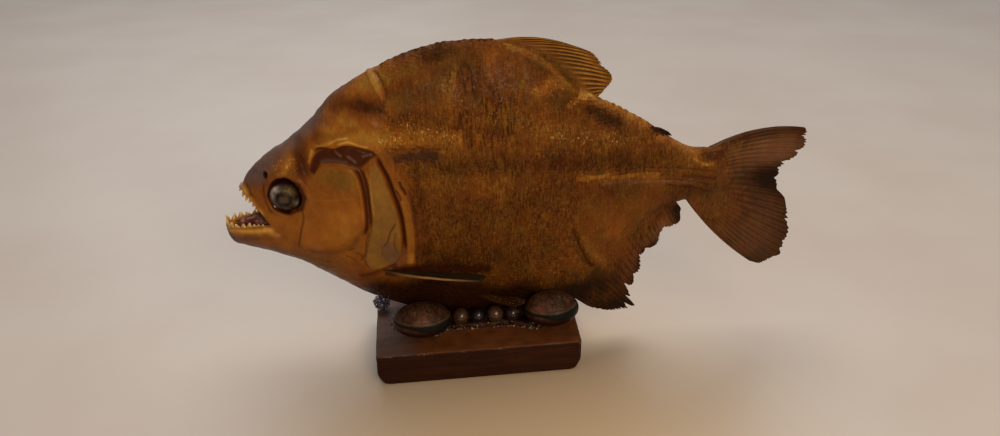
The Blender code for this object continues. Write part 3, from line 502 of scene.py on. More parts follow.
BLOTS = {
    "gold shoulder": ([(-46.0, 91.0), (-36.0, 90.4), (-24.0, 89.0), (-12.0, 88.2), (-6.0, 88.0)], 3.4,
        dict(tone=0.22, olive=0.55)),
    "gold back": ([(-34.0, 105.6), (-25.0, 107.6), (-17.0, 110.6)], 3.0, dict(tone=0.12, olive=0.70)),
    "gold middle": ([(19.0, 100.4), (24.0, 97.0)], 3.0, dict(tone=0.09, olive=0.55)),
    "under fold": ([(26.0, 98.4), (34.0, 94.6)], 2.6, dict(tone=-0.10)),
    "nape": ([(-24.0, 100.0), (-12.0, 101.0), (-6.0, 101.6)], 4.5, dict(tone=0.05, olive=0.6)),
    "middle glow": ([(-18.0, 73.0), (12.0, 72.0)], 5.0, dict(tone=0.06)),
    "lower flank": ([(-18.0, 46.0), (0.0, 44.0), (10.0, 43.0)], 8.0, dict(tone=-0.09)),
    "pectoral shade": ([(-28.0, 40.6), (-14.0, 39.4), (0.0, 38.0), (4.0, 37.6)], 1.5,
        dict(tone=-0.30, umber=0.80)),
    "middle flank": ([(-8.0, 61.0), (20.0, 60.0), (48.0, 60.0)], 7.5, dict(tone=-0.05)),
    "nape shade": ([(-36.0, 97.6), (-31.0, 99.6)], 2.6, dict(tone=-0.11)),
    "nape band": ([(-44.0, 99.6), (-36.0, 100.0), (-29.6, 98.2)], 2.1, dict(tone=-0.22, olive=0.20)),
    # The grey of the snout, its tip and side and the forehead's edge is partly ashen skin and partly a
    # painted sheen along the top of the head.
    "snout": ([(-77.4, 76.0), (-73.6, 78.4), (-68.0, 82.0), (-61.0, 87.6), (-54.0, 92.6), (-50.0, 96.4)],
        2.6, dict(tone=-0.18, grey=0.85)),
    "forehead edge": ([(-50.0, 97.0), (-44.0, 102.4), (-38.0, 106.6)], 1.2, dict(tone=-0.10, grey=0.45)),
    "snout tip": ([(-76.4, 75.4), (-70.6, 76.6)], 2.6, dict(tone=-0.16, grey=0.85)),
    "snout side": ([(-72.6, 76.0), (-69.0, 78.2), (-65.6, 81.8)], 2.3, dict(tone=-0.08, grey=0.66)),
    "brow glow": ([(-59.6, 85.0), (-53.6, 90.6)], 2.6, dict(tone=0.12, olive=0.30)),
    "brow skin": ([(-64.6, 80.0), (-59.0, 81.4)], 2.2, dict(tone=0.12, glint=0.35)),
    "temple shade": ([(-50.0, 89.6), (-43.0, 90.6), (-38.0, 92.4)], 1.8, dict(tone=-0.10, umber=0.20)),
    "temple": ([(-56.6, 88.4), (-55.8, 80.0)], 2.3, dict(tone=-0.16, umber=0.70)),
    "eye lashes": ([(-61.6, 78.6), (-60.0, 80.8)], 1.0, dict(tone=0.20, glint=0.8)),
    "cheek top": ([(-47.6, 78.0), (-42.0, 76.0)], 4.6, dict(tone=-0.05, olive=0.85)),
    "cheek bottom": ([(-48.0, 55.0), (-43.0, 60.0)], 5.5, dict(tone=0.09)),
    "gold opercle": ([(-31.4, 72.0), (-30.4, 64.0)], 2.2, dict(tone=0.08, olive=0.5)),
    "opercle foot": ([(-30.4, 51.0), (-28.4, 46.0)], 3.0, dict(tone=-0.13, grey=0.34)),
    "shoulder foot": ([(-22.4, 46.0), (-22.0, 43.4)], 1.3, dict(tone=0.18, olive=0.6)),
    "under eye": ([(-66.0, 62.0), (-60.0, 60.0)], 3.4, dict(tone=0.05, olive=0.15)),
    "lower gum": ([(-83.8, 56.6), (-79.0, 56.7), (-73.8, 57.1), (-69.0, 57.8)], 1.35,
        dict(tone=0.44, olive=0.35)),
    "upper gum": ([(-77.2, 73.2), (-75.9, 70.6), (-73.8, 67.2), (-71.4, 64.2)], 1.05,
        dict(tone=0.44, olive=0.4)),
    # A painted highlight: the jaw's corner is painted lighter where the light catches it.
    "lit jaw corner": ([(-68.2, 56.2), (-66.6, 55.8)], 1.1, dict(tone=0.26, grey=0.25)),
    # The chin's grey is partly ashen skin and partly a painted sheen under the jaw.
    "chin": ([(-84.6, 54.0), (-80.0, 51.0), (-73.0, 48.6), (-64.0, 45.6), (-56.0, 40.6), (-47.0, 34.0)],
        3.0, dict(tone=-0.16, grey=0.66)),
    "throat": ([(-60.0, 49.0), (-48.0, 43.0)], 5.0, dict(tone=-0.08, olive=0.50, grey=0.08)),
    "jaw side": ([(-78.0, 54.4), (-70.0, 53.6)], 2.6, dict(tone=-0.06, olive=0.30)),
    "shoulder smudge": ([(-24.6, 82.4), (-19.0, 83.0), (-15.0, 82.8), (-12.6, 82.8)], 1.8,
        dict(tone=-0.26, grey=0.14)),
    "behind smudge": ([(-8.0, 83.4), (2.0, 82.4)], 2.6, dict(tone=0.08, olive=0.30)),
    "behind shoulder": ([(-19.6, 78.0), (-18.4, 62.0), (-18.0, 46.0), (-20.0, 39.0)], 2.4,
        dict(tone=-0.12)),
    "back smudge": ([(-13.4, 113.6), (-8.6, 114.2)], 2.2, dict(tone=-0.14)),
    "back edge": ([(38.6, 98.4), (43.0, 96.6), (48.0, 94.4), (53.0, 92.0), (58.0, 89.6), (62.4, 87.0)], 2.0,
        dict(tone=0.40, olive=0.60, grey=0.15)),
    "fin foot smudge": ([(40.6, 93.0), (45.0, 90.6), (50.6, 88.0)], 2.0, dict(tone=-0.24)),
    "second foot smudge": ([(64.0, 84.6), (68.0, 82.0)], 1.1, dict(tone=-0.26, olive=0.60)),
    "lobe spot": ([(65.6, 81.0), (67.8, 80.6)], 0.9, dict(tone=0.34, grey=0.20)),
    "fin foot fold": ([(33.0, 95.2), (37.0, 97.2), (42.0, 97.4)], 0.8, dict(tone=0.24, glint=0.6)),
    "nape patch": ([(-42.0, 95.0), (-38.0, 94.4)], 1.6, dict(tone=0.10, olive=0.8)),
    "second nape patch": ([(-25.0, 94.6), (-21.0, 96.6)], 1.5, dict(tone=-0.10, umber=0.20)),
    "brow patch": ([(-52.0, 94.0), (-50.4, 91.0)], 1.5, dict(tone=-0.10, umber=0.30)),
    # Painted highlights: a pale patch of glints under the dorsal fin's foot.
    "under fin": ([(22.0, 101.6), (27.0, 103.4), (31.0, 101.6)], 1.7, dict(tone=0.16, glint=0.5)),
    "middle band": ([(-8.0, 78.6), (14.0, 77.6), (40.0, 76.0), (66.0, 73.6)], 3.6,
        dict(tone=-0.10, umber=0.14)),
    "upper flank": ([(14.0, 93.0), (26.0, 88.0), (38.0, 85.0), (52.0, 81.4)], 4.6,
        dict(tone=0.07, olive=0.60, glint=0.16)),
    "streak": ([(37.0, 70.0), (50.0, 69.2), (58.0, 68.8), (66.0, 68.4)], 1.0, dict(tone=0.26, olive=0.6)),
    "streak foot": ([(46.0, 67.2), (58.0, 66.6), (68.0, 65.6), (80.0, 64.0)], 0.9,
        dict(tone=0.12, grey=0.20)),
    "smooth flank": ([(44.0, 58.0), (52.0, 48.0), (56.0, 40.0)], 8.0, dict(tone=0.10)),
    "behind fold": ([(39.6, 46.0), (44.4, 37.0), (49.0, 32.0)], 1.6, dict(tone=0.12)),
    "stalk": ([(72.0, 64.0), (84.0, 60.0)], 4.5, dict(tone=-0.07, olive=0.3)),
    "stalk glow": ([(78.0, 72.0), (86.0, 69.6)], 3.0, dict(tone=0.07)),
    "stalk top": ([(70.0, 80.0), (76.0, 77.2), (80.0, 75.0)], 1.6, dict(tone=0.26, olive=0.5, grey=0.15)),
    # Painted shade: the belly and the rear belly are painted darker, where the underside turns from the light
    # and the pectoral fin shades it.
    "belly": ([(-34.0, 27.0), (-15.0, 26.0), (2.0, 21.0), (14.0, 16.0)], 9.0, dict(tone=-0.62, umber=0.35)),
    "rear belly": ([(14.0, 20.0), (36.0, 20.0)], 6.0, dict(tone=-0.30)),
    "anal root": ([(40.0, 20.0), (48.0, 24.0)], 4.5, dict(tone=-0.22)),
    "anal foot": ([(40.0, 24.0), (54.0, 28.0), (60.0, 42.0), (70.0, 52.0)], 4.5, dict(tone=-0.11)),
    "first glints": ([(-29.6, 87.4), (-24.0, 88.6)], 2.0, dict(tone=0.08, glint=1.0)),
    "second glints": ([(-22.0, 94.0), (-16.0, 91.0), (-10.0, 88.8), (-7.6, 87.8)], 2.2, dict(glint=0.60)),
    "pleat glints": ([(-8.0, 106.0), (-3.0, 98.0), (6.0, 94.0), (10.0, 98.0)], 2.8, dict(glint=0.28)),
    "fin glints": ([(21.0, 101.4), (27.0, 100.6)], 1.5, dict(tone=0.10, glint=0.70)),
    "flank glints": ([(28.0, 86.0), (36.0, 83.0), (44.0, 84.4), (52.0, 82.0)], 2.2, dict(glint=0.45)),
}
NOSTRIL = (-68.2, 77.1)
NOSTRIL_SIZE = (0.65, 0.95)
HEAD_EDGE = [(-29.6, 114.0), (-28.0, 106.0), (-27.4, 100.0), (-29.4, 95.0), (-30.6, 90.0), (-29.4, 86.0),
             (-26.4, 80.0), (-22.8, 74.0), (-20.8, 68.0), (-20.0, 60.0), (-19.8, 50.0), (-20.4, 42.0),
             (-24.0, 37.0), (-34.0, 31.0), (-42.0, 28.0)]
HEAD_OUTLINE = HEAD_EDGE + [(-48.0, 20.0), (FRONT, 20.0), (FRONT, 120.0), (-31.0, 120.0)]
SLEEK = [(35.0, 50.0), (37.0, 66.0), (60.0, 65.0), (92.0, 74.0), (92.0, 55.0), (72.0, 56.0), (62.0, 48.0),
         (57.0, 34.0), (47.0, 28.0), (42.0, 36.0)]
WRINKLES_AT = (4.0, 97.0)


def near(path, x, z, reach):
    """The numbers of the side-view points close enough to a path to matter."""
    low, high = np.min(path, axis=0) - reach, np.max(path, axis=0) + reach
    return np.nonzero((x > low[0]) & (x < high[0]) & (z > low[1]) & (z < high[1]))[0]


def along_groove(path, width, x, z):
    """The points near a groove, how far each is from it, and how full it is there: it fades at both ends."""
    path = curve(path, 6 * len(path))
    k = near(path, x, z, 4.0 * width)
    d, along = nearest_on(path, x[k], z[k])
    return k, d, smoothstep(0.0, 0.12, along) * smoothstep(1.0, 0.88, along)


def on_plate(outline, edge, x, z):
    """The points near a plate, and how far up its edge each is, from 0 to 1."""
    k = near(outline, x, z, edge)
    return k, smoothstep(-0.5 * edge, 0.5 * edge, depth_in(outline, x[k], z[k]))


def from_nostril(x, z):
    """Distance from the nostril's middle, counted in its own radii."""
    return np.hypot((x - NOSTRIL[0]) / NOSTRIL_SIZE[0], (z - NOSTRIL[1]) / NOSTRIL_SIZE[1])


def wrinkled(x, z):
    """How strongly the shrunken flank is wrinkled, from 0 to 1: most under the back."""
    return bell((x - WRINKLES_AT[0]) / 13.0, (z - WRINKLES_AT[1]) / 15.0)


def pleats(x, z):
    """Fine upright pleats of the shrunken flank, from -1 to 1."""
    sway = 2.0 * noise(np.column_stack([x, z]), 16.0, 40)
    wave = noise(np.column_stack([x + sway, 0.12 * z]), 1.30, 41)
    wave += 0.5 * noise(np.column_stack([x + sway, 0.20 * z]), 0.65, 42)
    even = 0.62 * wave * (0.35 + 0.65 * wrinkled(x, z)) * smoothstep(3.0, -3.0, depth_in(SLEEK, x, z))
    return np.clip(even, -1.0, 1.0)


def relief(x, z):
    """How far the grooves, plates, nostril and eye's rim raise the surface, in millimetres."""
    rise = np.zeros(len(x))
    for path, width, depth, _ in GROOVES.values():
        k, d, full = along_groove(path, width, x, z)
        rise[k] -= depth * full * bell(d / width)
    for outline, height, edge, _ in PLATES.values():
        k, up = on_plate(outline, edge, x, z)
        rise[k] += height * up
    d = from_nostril(x, z)
    rise -= 1.5 * np.exp(-d ** 4)
    rise += 0.20 * bell((d - 1.7) / 0.5)
    ring = np.hypot(x - EYE[0], z - EYE[1]) - EYE_SOCKET
    rise += 0.40 * bell((ring - 0.7) / 0.6)
    return rise


def marks(x, z):
    """The surface's markings at side-view points, shared by the skin and its scales: tone, umber, grey, olive
    and glint, and how strongly it is stroked and wrinkled. All run from about 0 to 1.
    """
    head = smoothstep(-7.0, 5.0, depth_in(HEAD_OUTLINE, x, z))
    trunk = 1.0 - head
    flat = np.column_stack([x, z])
    upper = trunk * smoothstep(92.0, 102.0, z)
    sleek = smoothstep(-3.0, 4.0, depth_in(SLEEK, x, z))
    found = {"tone": 0.375 + 0.165 * head, "umber": np.zeros(len(x)), "grey": np.zeros(len(x)),
             "olive": 0.38 - 0.20 * head + 0.02 * upper, "glint": 0.06 * trunk,
             "strokes": trunk * (1.0 - 0.60 * upper) * (1.0 - 0.65 * sleek),
             "wrinkle": trunk * wrinkled(x, z)}
    # Painted light and shade on the pleats: the flank is painted lighter where they stand out and darker in
    # their troughs.
    found["tone"] += 0.10 * pleats(x, z) * trunk * (1.0 - 0.5 * upper)
    found["tone"] += (0.03 + 0.07 * upper) * trunk * noise(flat * (1.0, 0.7), 6.5, 46)
    found["olive"] += (0.12 + 0.16 * upper) * trunk * noise(flat, 8.0, 47)
    found["strokes"] += 0.45 * head * smoothstep(86.0, 94.0, z)

    def lay(k, amount, effects):
        for name, strength in effects.items():
            if name == "tone":
                found[name][k] += strength * amount
            else:
                found[name][k] = np.maximum(found[name][k], strength * amount)

    for path, width, effects in BLOTS.values():
        k = near(path, x, z, 3.0 * width)
        d, _ = nearest_on(path, x[k], z[k])
        ragged = 1.0 + 0.30 * noise(flat[k], 0.9 * width, 43)
        lay(k, bell(d * ragged / width), effects)
    for outline, _, edge, effects in PLATES.values():
        lay(*on_plate(outline, edge, x, z), effects)
    for path, width, _, effects in GROOVES.values():
        k, d, full = along_groove(path, width, x, z)
        lay(k, full * bell(d / (1.15 * width)), effects)
    nostril = np.exp(-(0.85 * from_nostril(x, z)) ** 4)
    found["grey"] = found["grey"] * (1.0 - nostril)
    found["tone"] = np.clip(found["tone"] - nostril, 0.0, 1.0)
    found["strokes"] = found["strokes"] * smoothstep(0.02, 0.36, found["tone"])
    found["glint"] = found["glint"] * smoothstep(0.10, 0.36, found["tone"])
    return found


def blended(under, over, amount):
    """One set of marks laid over another."""
    return {name: np.clip(under[name] + (over[name] - under[name]) * amount, 0.0, 1.0) for name in under}


def thin_out(obj, triangles):
    """Merges triangles where the surface is smoothest, down to a number."""
    step = obj.modifiers.new("thin", "DECIMATE")
    step.ratio = min(1.0, triangles / (2.0 * len(obj.data.polygons)))
    settle(obj)


def rough_skin(points, bare, x, z):
    """The head's dried roughness, softer on its plates, and the flank's pleats, in millimetres."""
    plates = np.maximum(depth_in(PLATES["cheek"][0], x, z), depth_in(PLATES["opercle"][0], x, z))
    rough = bare * (0.35 + 0.65 * smoothstep(1.5, -1.5, plates))
    lumps = (0.30 - 0.60 * np.abs(noise(points, 3.6, 2)) + 0.10 * noise(points, 1.5, 3)
             + 0.05 * noise(points, 0.8, 4)) * 0.6
    return 0.22 * noise(points, 9.0, 1) + rough * lumps + (1.0 - bare) * 0.22 * pleats(x, z)


def build_skin(look):
    """The whole body's skin, with the mouth and eye sockets cut out, raised and grooved as it dried."""
    rings = curve(STATIONS, 12 * (len(STATIONS) - 1) + 1)
    skin = loft("piranha_skin", [section(row, SECTION_POINTS) for row in rings])
    cutters = []
    for name, reach, thick in FIN_ROOTS:
        root = fin_root(name + "_root", FINS[name], reach, thick)
        boolean(skin, "UNION", root)
        cutters.append(root)
    front = [row for row in rings if row[0] < EYE[0] + 8.0]
    hollow = loft("hollow", [section(row, 60, JAW_WALL) for row in front[2:]])
    hollow_cut = prism("hollow_cut", curve(MOUTH_HOLLOW[1:-1], 60))
    boolean(hollow, "INTERSECT", hollow_cut)
    rims = np.vstack([curve(UPPER_RIM, 30), [(FRONT, 79.0), (FRONT, 57.3)], curve(LOWER_RIM, 30)[:0:-1]])
    gape = prism("gape", rims)
    boolean(skin, "DIFFERENCE", hollow)
    boolean(skin, "DIFFERENCE", gape)
    cutters += [hollow, hollow_cut, gape]
    eye_y = float(half_width(*EYE)[0])
    socket_radii = (EYE_SOCKET, SOCKET_DEPTH, EYE_SOCKET)
    for side in (-1, 1):
        socket = ellipsoid("socket", (EYE[0], side * (eye_y - 1.6), EYE[1]), socket_radii, 48, 24)
        boolean(skin, "DIFFERENCE", socket)
        cutters.append(socket)
    remesh(skin, SKIN_GRID, 5)
    for cutter in cutters:
        bpy.data.objects.remove(cutter, do_unlink=True)

    points, normals = points_of(skin), normals_of(skin)
    x, y, z = points.T
    outer = smoothstep(1.5, 0.7, half_width(x, z) - np.abs(y))
    outer = outer * smoothstep(0.15, 0.45, np.abs(normals[:, 1]))
    bare = smoothstep(-3.0, 0.0, depth_in(HEAD_OUTLINE, x, z))
    rise = relief(x, z) * outer + rough_skin(points, bare, x, z)
    set_points(skin, points + normals * (rise - COAT_DEPTH)[:, None])
    thin_out(skin, SKIN_TRIANGLES)
    finish_with(skin, look)
    return skin


# ---- fins ----
RAY_COLUMNS = 8               # columns of points to each ray
FIN_ROWS = 46


def fin_place(fin, u, v):
    """Middle points of a fin: u runs from its first ray to its last, v from its root to its tip."""
    ends = [point_at(u * 199, np.arange(200), curve(fin[line], 200)) for line in ("roots", "tips")]
    run = ends[1] - ends[0]
    side = np.cross(run, fin["across"])
    side /= np.linalg.norm(side, axis=1)[:, None]
    bow = fin["bows"][0] + (fin["bows"][1] - fin["bows"][0]) * u
    return ends[0] + run * v[:, None] + side * (bow * 4.0 * v * (1.0 - v))[:, None]


def build_fin(name, look, fin, seed):
    """Fin of ridged rays that fork towards their tips, with thin membrane between and a torn edge."""
    rays = fin["rays"]
    columns = rays * RAY_COLUMNS + 1
    rng = np.random.default_rng(seed)
    u = np.linspace(0.0, 1.0, columns)
    U, V = np.meshgrid(u, np.linspace(fin["start"], 1.0, FIN_ROWS), indexing="ij")
    ray = np.clip((U * rays).astype(int), 0, rays - 1)
    w = U * rays - ray
    forked = smoothstep(fin["fork"], fin["fork"] + 0.35, V)
    fork = 0.21 * forked
    width = 0.26 - 0.10 * forked
    ridge = np.maximum(bell((w - 0.5 - fork) / width), bell((w - 0.5 + fork) / width))
    reach = 1.0 - fin["ragged"] * rng.uniform(0.0, 1.0, rays + 1) ** 2
    reach = np.interp(u * rays, np.arange(rays + 1), reach)
    reach -= fin["notch"] * (1.0 - ridge[:, -1]) * (0.4 + 0.6 * noise(u[:, None] * rays, 1.7, seed))
    for place, depth, spread in fin["tears"]:
        reach -= depth * bell((u - place) / spread)
    V = V * (1.0 + (reach - 1.0)[:, None] * smoothstep(0.2, 1.0, V))

    def uneven(wide, long, number):
        """Noise with so many lumps across the fin and along its rays."""
        return noise(np.column_stack([U.ravel() * wide, V.ravel() * long]), 1.0, number).reshape(U.shape)

    root_thick, tip_thick = fin["thick"]
    joint = 1.0 + 0.10 * np.sin(V * 60.0 + ray * 1.7) * ridge
    full = tip_thick + (root_thick - tip_thick) * np.clip(1.0 - V, 0.0, 1.2) ** 2
    grown = smoothstep(0.0, 0.40, V)
    half = 0.5 * full * (1.0 - (1.0 - fin["web"]) * (1.0 - ridge * joint) * grown)
    bend = fin["wave"] * smoothstep(0.0, 1.0, V) * uneven(4, 2, seed) + 0.12 * uneven(rays * 2, 10, seed + 1)
    middle = fin_place(fin, U.ravel(), V.ravel())
    front, back = (middle + fin["across"] * offset.ravel()[:, None] for offset in (bend + half, bend - half))
    made = two_sided(name, columns, FIN_ROWS, front, back, look)

    fading = 1.0 + fin["fading"] * (uneven(7.0, 3.0, seed + 2) - 1.0)
    crest = 0.5 + (ridge - 0.5) * fading
    tone = fin["tone"] + fin["contrast"] * (crest - 0.5) * smoothstep(0.0, 0.5, V)
    tone -= 0.08 * smoothstep(0.75, 1.0, V)
    smudge = np.zeros(U.shape)
    for place, height, wide, tall, change in fin["smudges"]:
        smudge += change * bell((U - place) / wide, (V - height) / tall)
    tone += smudge
    body = marks(middle[:, 0], middle[:, 2])
    body["tone"] = body["tone"] + smudge.ravel()
    own = dict.fromkeys(body, 0.0)
    own.update(tone=tone.ravel(), grey=fin["grey"] * smoothstep(0.1, 0.5, tone.ravel()), olive=fin["olive"],
               glint=fin["glint"] * crest.ravel())
    shown = blended(body, own, smoothstep(*fin["blend"], V).ravel())
    paint(made, **{name: np.tile(numbers, 2) for name, numbers in shown.items()})
    return made


def level(points):
    """Side-view points as points on the mid-plane."""
    return [(x, 0.0, z) for x, z in points]


def on_back(xs, sunk):
    """Points on the mid-plane, sunk that far into the back."""
    return [(x, 0.0, float(back_line(x)) - sunk) for x in xs]


def on_belly(xs, sunk):
    """Points on the mid-plane, sunk that far into the belly."""
    return [(x, 0.0, float(belly_line(x)) + sunk) for x in xs]


ACROSS = np.array((0.0, 1.0, 0.0))
UPWARD = np.array((0.0, 0.0, 1.0))


def fin_like(roots, tips, **own):
    """A fin's numbers, plain where they aren't given. Its roots and tips run from its first ray to its last.

    bows: how far its first and last rays bow; thick: at root and tip; web: the membrane's share of a ray's
    thickness; ragged and notch: how uneven its edge is, from ray to ray and between them; wave: how far it
    bends sideways; start: how far below its root it begins; fork: where its rays part; contrast: of rays and
    web; fading: how patchily that fades; blend: where the body's marks give way to its own; tears: (place,
    depth, width); smudges: (place, height, width, tallness, change of tone).
    """
    plain = dict(bows=(0.0, 0.0), fork=0.40, fading=0.0, blend=(-0.1, 0.1), grey=0.0, glint=0.0, smudges=(),
                 tears=(), across=ACROSS)
    return {**plain, "roots": roots, "tips": tips, **own}


FINS = {
    "dorsal_fin": fin_like(
        on_back((10.0, 15.0, 21.0, 27.0, 33.0, 38.5, 43.5), 0.6),
        level([(34.0, 114.6), (42.0, 111.4), (46.0, 107.0), (49.2, 102.8), (47.6, 99.6), (45.4, 97.2)]),
        bows=(1.7, 0.0), rays=15, thick=(2.0, 0.8), web=0.30, ragged=0.05, notch=0.05, wave=0.5, start=-0.05,
        fork=0.60, contrast=0.62, blend=(0.02, 0.30), tone=0.50, olive=0.55, glint=0.14,
        tears=((0.42, 0.05, 0.03),)),
    "anal_fin": fin_like(
        on_belly((36.0, 42.0, 49.0, 56.0, 63.0, 69.0, 74.5), 1.0),
        level([(46.0, 12.0), (56.0, 10.2), (62.4, 11.2), (60.9, 18.7), (62.9, 27.6), (64.2, 35.4),
               (69.4, 38.6), (71.2, 43.6), (77.0, 46.4), (77.4, 52.1)]),
        rays=27, thick=(2.6, 0.8), web=0.70, ragged=0.16, notch=0.10, wave=0.9, start=-0.12, fading=0.40,
        contrast=0.22, blend=(0.20, 0.90), tone=0.28, grey=0.30, olive=0.30, glint=0.05,
        smudges=((0.14, 0.85, 0.18, 0.5, -0.34), (0.96, 0.9, 0.08, 0.6, -0.55),
                 (0.80, 1.0, 0.06, 0.4, 0.22), (0.55, 1.0, 0.14, 0.16, -0.20)),
        tears=((0.20, 0.16, 0.012), (0.26, 0.20, 0.014), (0.33, 0.12, 0.012), (0.41, 0.08, 0.02),
               (0.58, 0.10, 0.015), (0.79, 0.12, 0.02))),
    "tail_fin": fin_like(
        level([(86.5, 75.4), (86.6, 71.7), (86.6, 66.2), (86.4, 60.7), (85.6, 56.6), (83.0, 55.4),
               (79.0, 55.4)]),
        level([(120.4, 81.4), (122.3, 78.6), (121.8, 74.4), (119.4, 70.0), (114.6, 66.6), (113.6, 60.7),
               (117.0, 53.7), (119.8, 45.7), (120.9, 36.7), (119.2, 30.8), (115.4, 27.9), (110.4, 27.0),
               (106.2, 28.4)]),
        bows=(3.2, -1.6), rays=26, thick=(3.4, 0.8), web=0.55, ragged=0.05, notch=0.035, wave=1.1,
        start=-0.04, fading=0.45, contrast=0.20, blend=(-0.05, 0.75), tone=0.24, grey=0.36, olive=0.40,
        smudges=((0.41, 0.85, 0.075, 0.35, -0.24), (0.05, 0.5, 0.05, 0.4, -0.12),
                 (0.22, 0.70, 0.13, 0.4, 0.17), (0.80, 0.7, 0.17, 0.4, 0.06)),
        tears=((0.10, 0.04, 0.008), (0.21, 0.06, 0.010), (0.30, 0.07, 0.012), (0.40, 0.05, 0.010),
               (0.46, 0.05, 0.02), (0.60, 0.03, 0.008), (0.74, 0.025, 0.008))),
}
ADIPOSE = fin_like(
    on_back((64.8, 66.6, 68.6), 0.5), level([(68.9, 83.0), (70.4, 82.1), (71.5, 80.8)]), bows=(0.3, 0.0),
    rays=6, thick=(1.6, 0.9), web=0.8, ragged=0.03, notch=0.0, wave=0.2, start=-0.05, contrast=0.10,
    blend=(0.02, 0.30), tone=0.02, grey=0.1, olive=0.30)


def paired_fins(side):
    """The pectoral and the pelvic fin of one side; side is -1 for the fish's left."""
    def flank(x, z):
        return (x, side * (float(half_width(x, z)[0]) - 0.6), z)
    flip = np.array((1.0, -side, 1.0))
    return {
        "pectoral_fin": fin_like(
            [flank(x, 39.4) for x in (-32.5, -30.8, -29.0)],
            [flip * p for p in ((2.0, -18.6, 38.2), (3.0, -16.0, 38.6), (-3.0, -13.8, 38.7),
                                (-12.0, -12.9, 38.5))],
            bows=(-side * 1.6, 0.0), rays=12, thick=(1.9, 0.7), web=0.55, ragged=0.06, notch=0.03, wave=0.25,
            across=UPWARD, start=-0.02, contrast=0.04, tone=-0.10, grey=0.40, olive=1.0,
            # The smudge along its outer edge is a pale leading ray with a painted highlight on it.
            smudges=((0.0, 0.55, 0.040, 0.42, 0.95),)),
        "pelvic_fin": fin_like(
            [flank(x, 24.1) for x in (1.0, 2.6, 4.2)],
            [flip * p for p in ((13.6, -12.9, 23.4), (18.2, -11.2, 24.4), (12.0, -9.4, 25.8))],
            bows=(-side * 0.6, 0.0), rays=8, thick=(1.5, 0.7), web=0.6, ragged=0.08, notch=0.05, wave=0.3,
            across=UPWARD, start=-0.03, contrast=0.16, tone=0.12, olive=0.30, glint=0.30),
    }


def fin_root(name, fin, reach, thick):
    """The fleshy wedge at a fin's root, to be joined with the body."""
    columns, rows = 60, 8
    U, V = np.meshgrid(np.linspace(0.0, 1.0, columns), np.linspace(-0.10, reach, rows), indexing="ij")
    middle = fin_place(fin, U.ravel(), V.ravel())
    half = np.interp(V.ravel(), (0.0, reach), (0.5 * thick, 0.50))
    offset = fin["across"] * half[:, None]
    return two_sided(name, columns, rows, middle + offset, middle - offset)


# ---- scales ----
SCALES_FROM, SCALES_TO = -44.0, 87.0
SCALE_COLUMN = 1.15           # from one upright row of scales to the next
SCALE_ROW = 1.45              # from one scale to the next in its row
SCALE_LENGTH = 2.1
SCALE_WIDTH = 1.7
UNWRAP_PATCH = 0.003          # share of the unwrap's side that one scale takes
UNWRAP_SPAN = 240.0           # millimetres of skin that the unwrap's side takes


def scale_places(skin, side, rng):
    """Roots, directions, normals and unwrapped places of the scales on one flank."""
    tree = tree_of(skin)
    middles = 0.5 * (PROFILE[:, 0] + PROFILE[:, 2])
    found = []
    for number, x in enumerate(np.arange(SCALES_FROM, SCALES_TO, SCALE_COLUMN)):
        row = PROFILE[np.argmin(np.abs(middles - x))]
        t = np.linspace(0.0, 1.0, 241)
        y = fullness(t, row)
        path = np.column_stack([row[0] + (row[2] - row[0]) * t, side * y, row[1] + (row[3] - row[1]) * t])
        reached = lengths_along(path)
        walk = np.arange(0.4 + 0.5 * SCALE_ROW * (number % 2), reached[-1] - 0.2, SCALE_ROW)
        walk = walk + rng.uniform(-0.30, 0.30, len(walk))
        for arc in walk:
            point = point_at(arc, reached, path)
            point[0] += rng.uniform(-0.26, 0.26)
            found.append((*point, arc))
    found = np.array(found)
    bare = depth_in(HEAD_OUTLINE, found[:, 0], found[:, 2]) > -0.4
    pit = depth_in(PLATES["tail pit"][0], found[:, 0], found[:, 2]) > 0.3
    kept = rng.uniform(size=len(found)) > 0.03 + 0.6 * smoothstep(81.0, SCALES_TO, found[:, 0])
    found = found[~bare & ~pit & kept]
    places, normals = [], []
    for x, y, z, arc in found:
        hit, normal, _, _ = tree.find_nearest(Vector((x, y, z)) * MM)
        places.append(np.array(hit) / MM)
        normals.append(np.array(normal))
    u = (np.array(places)[:, 0] + 100.0) / UNWRAP_SPAN
    v = 0.5 + side * (0.02 + found[:, 3] / UNWRAP_SPAN)
    return np.array(places), np.array(normals), np.column_stack([u, v])


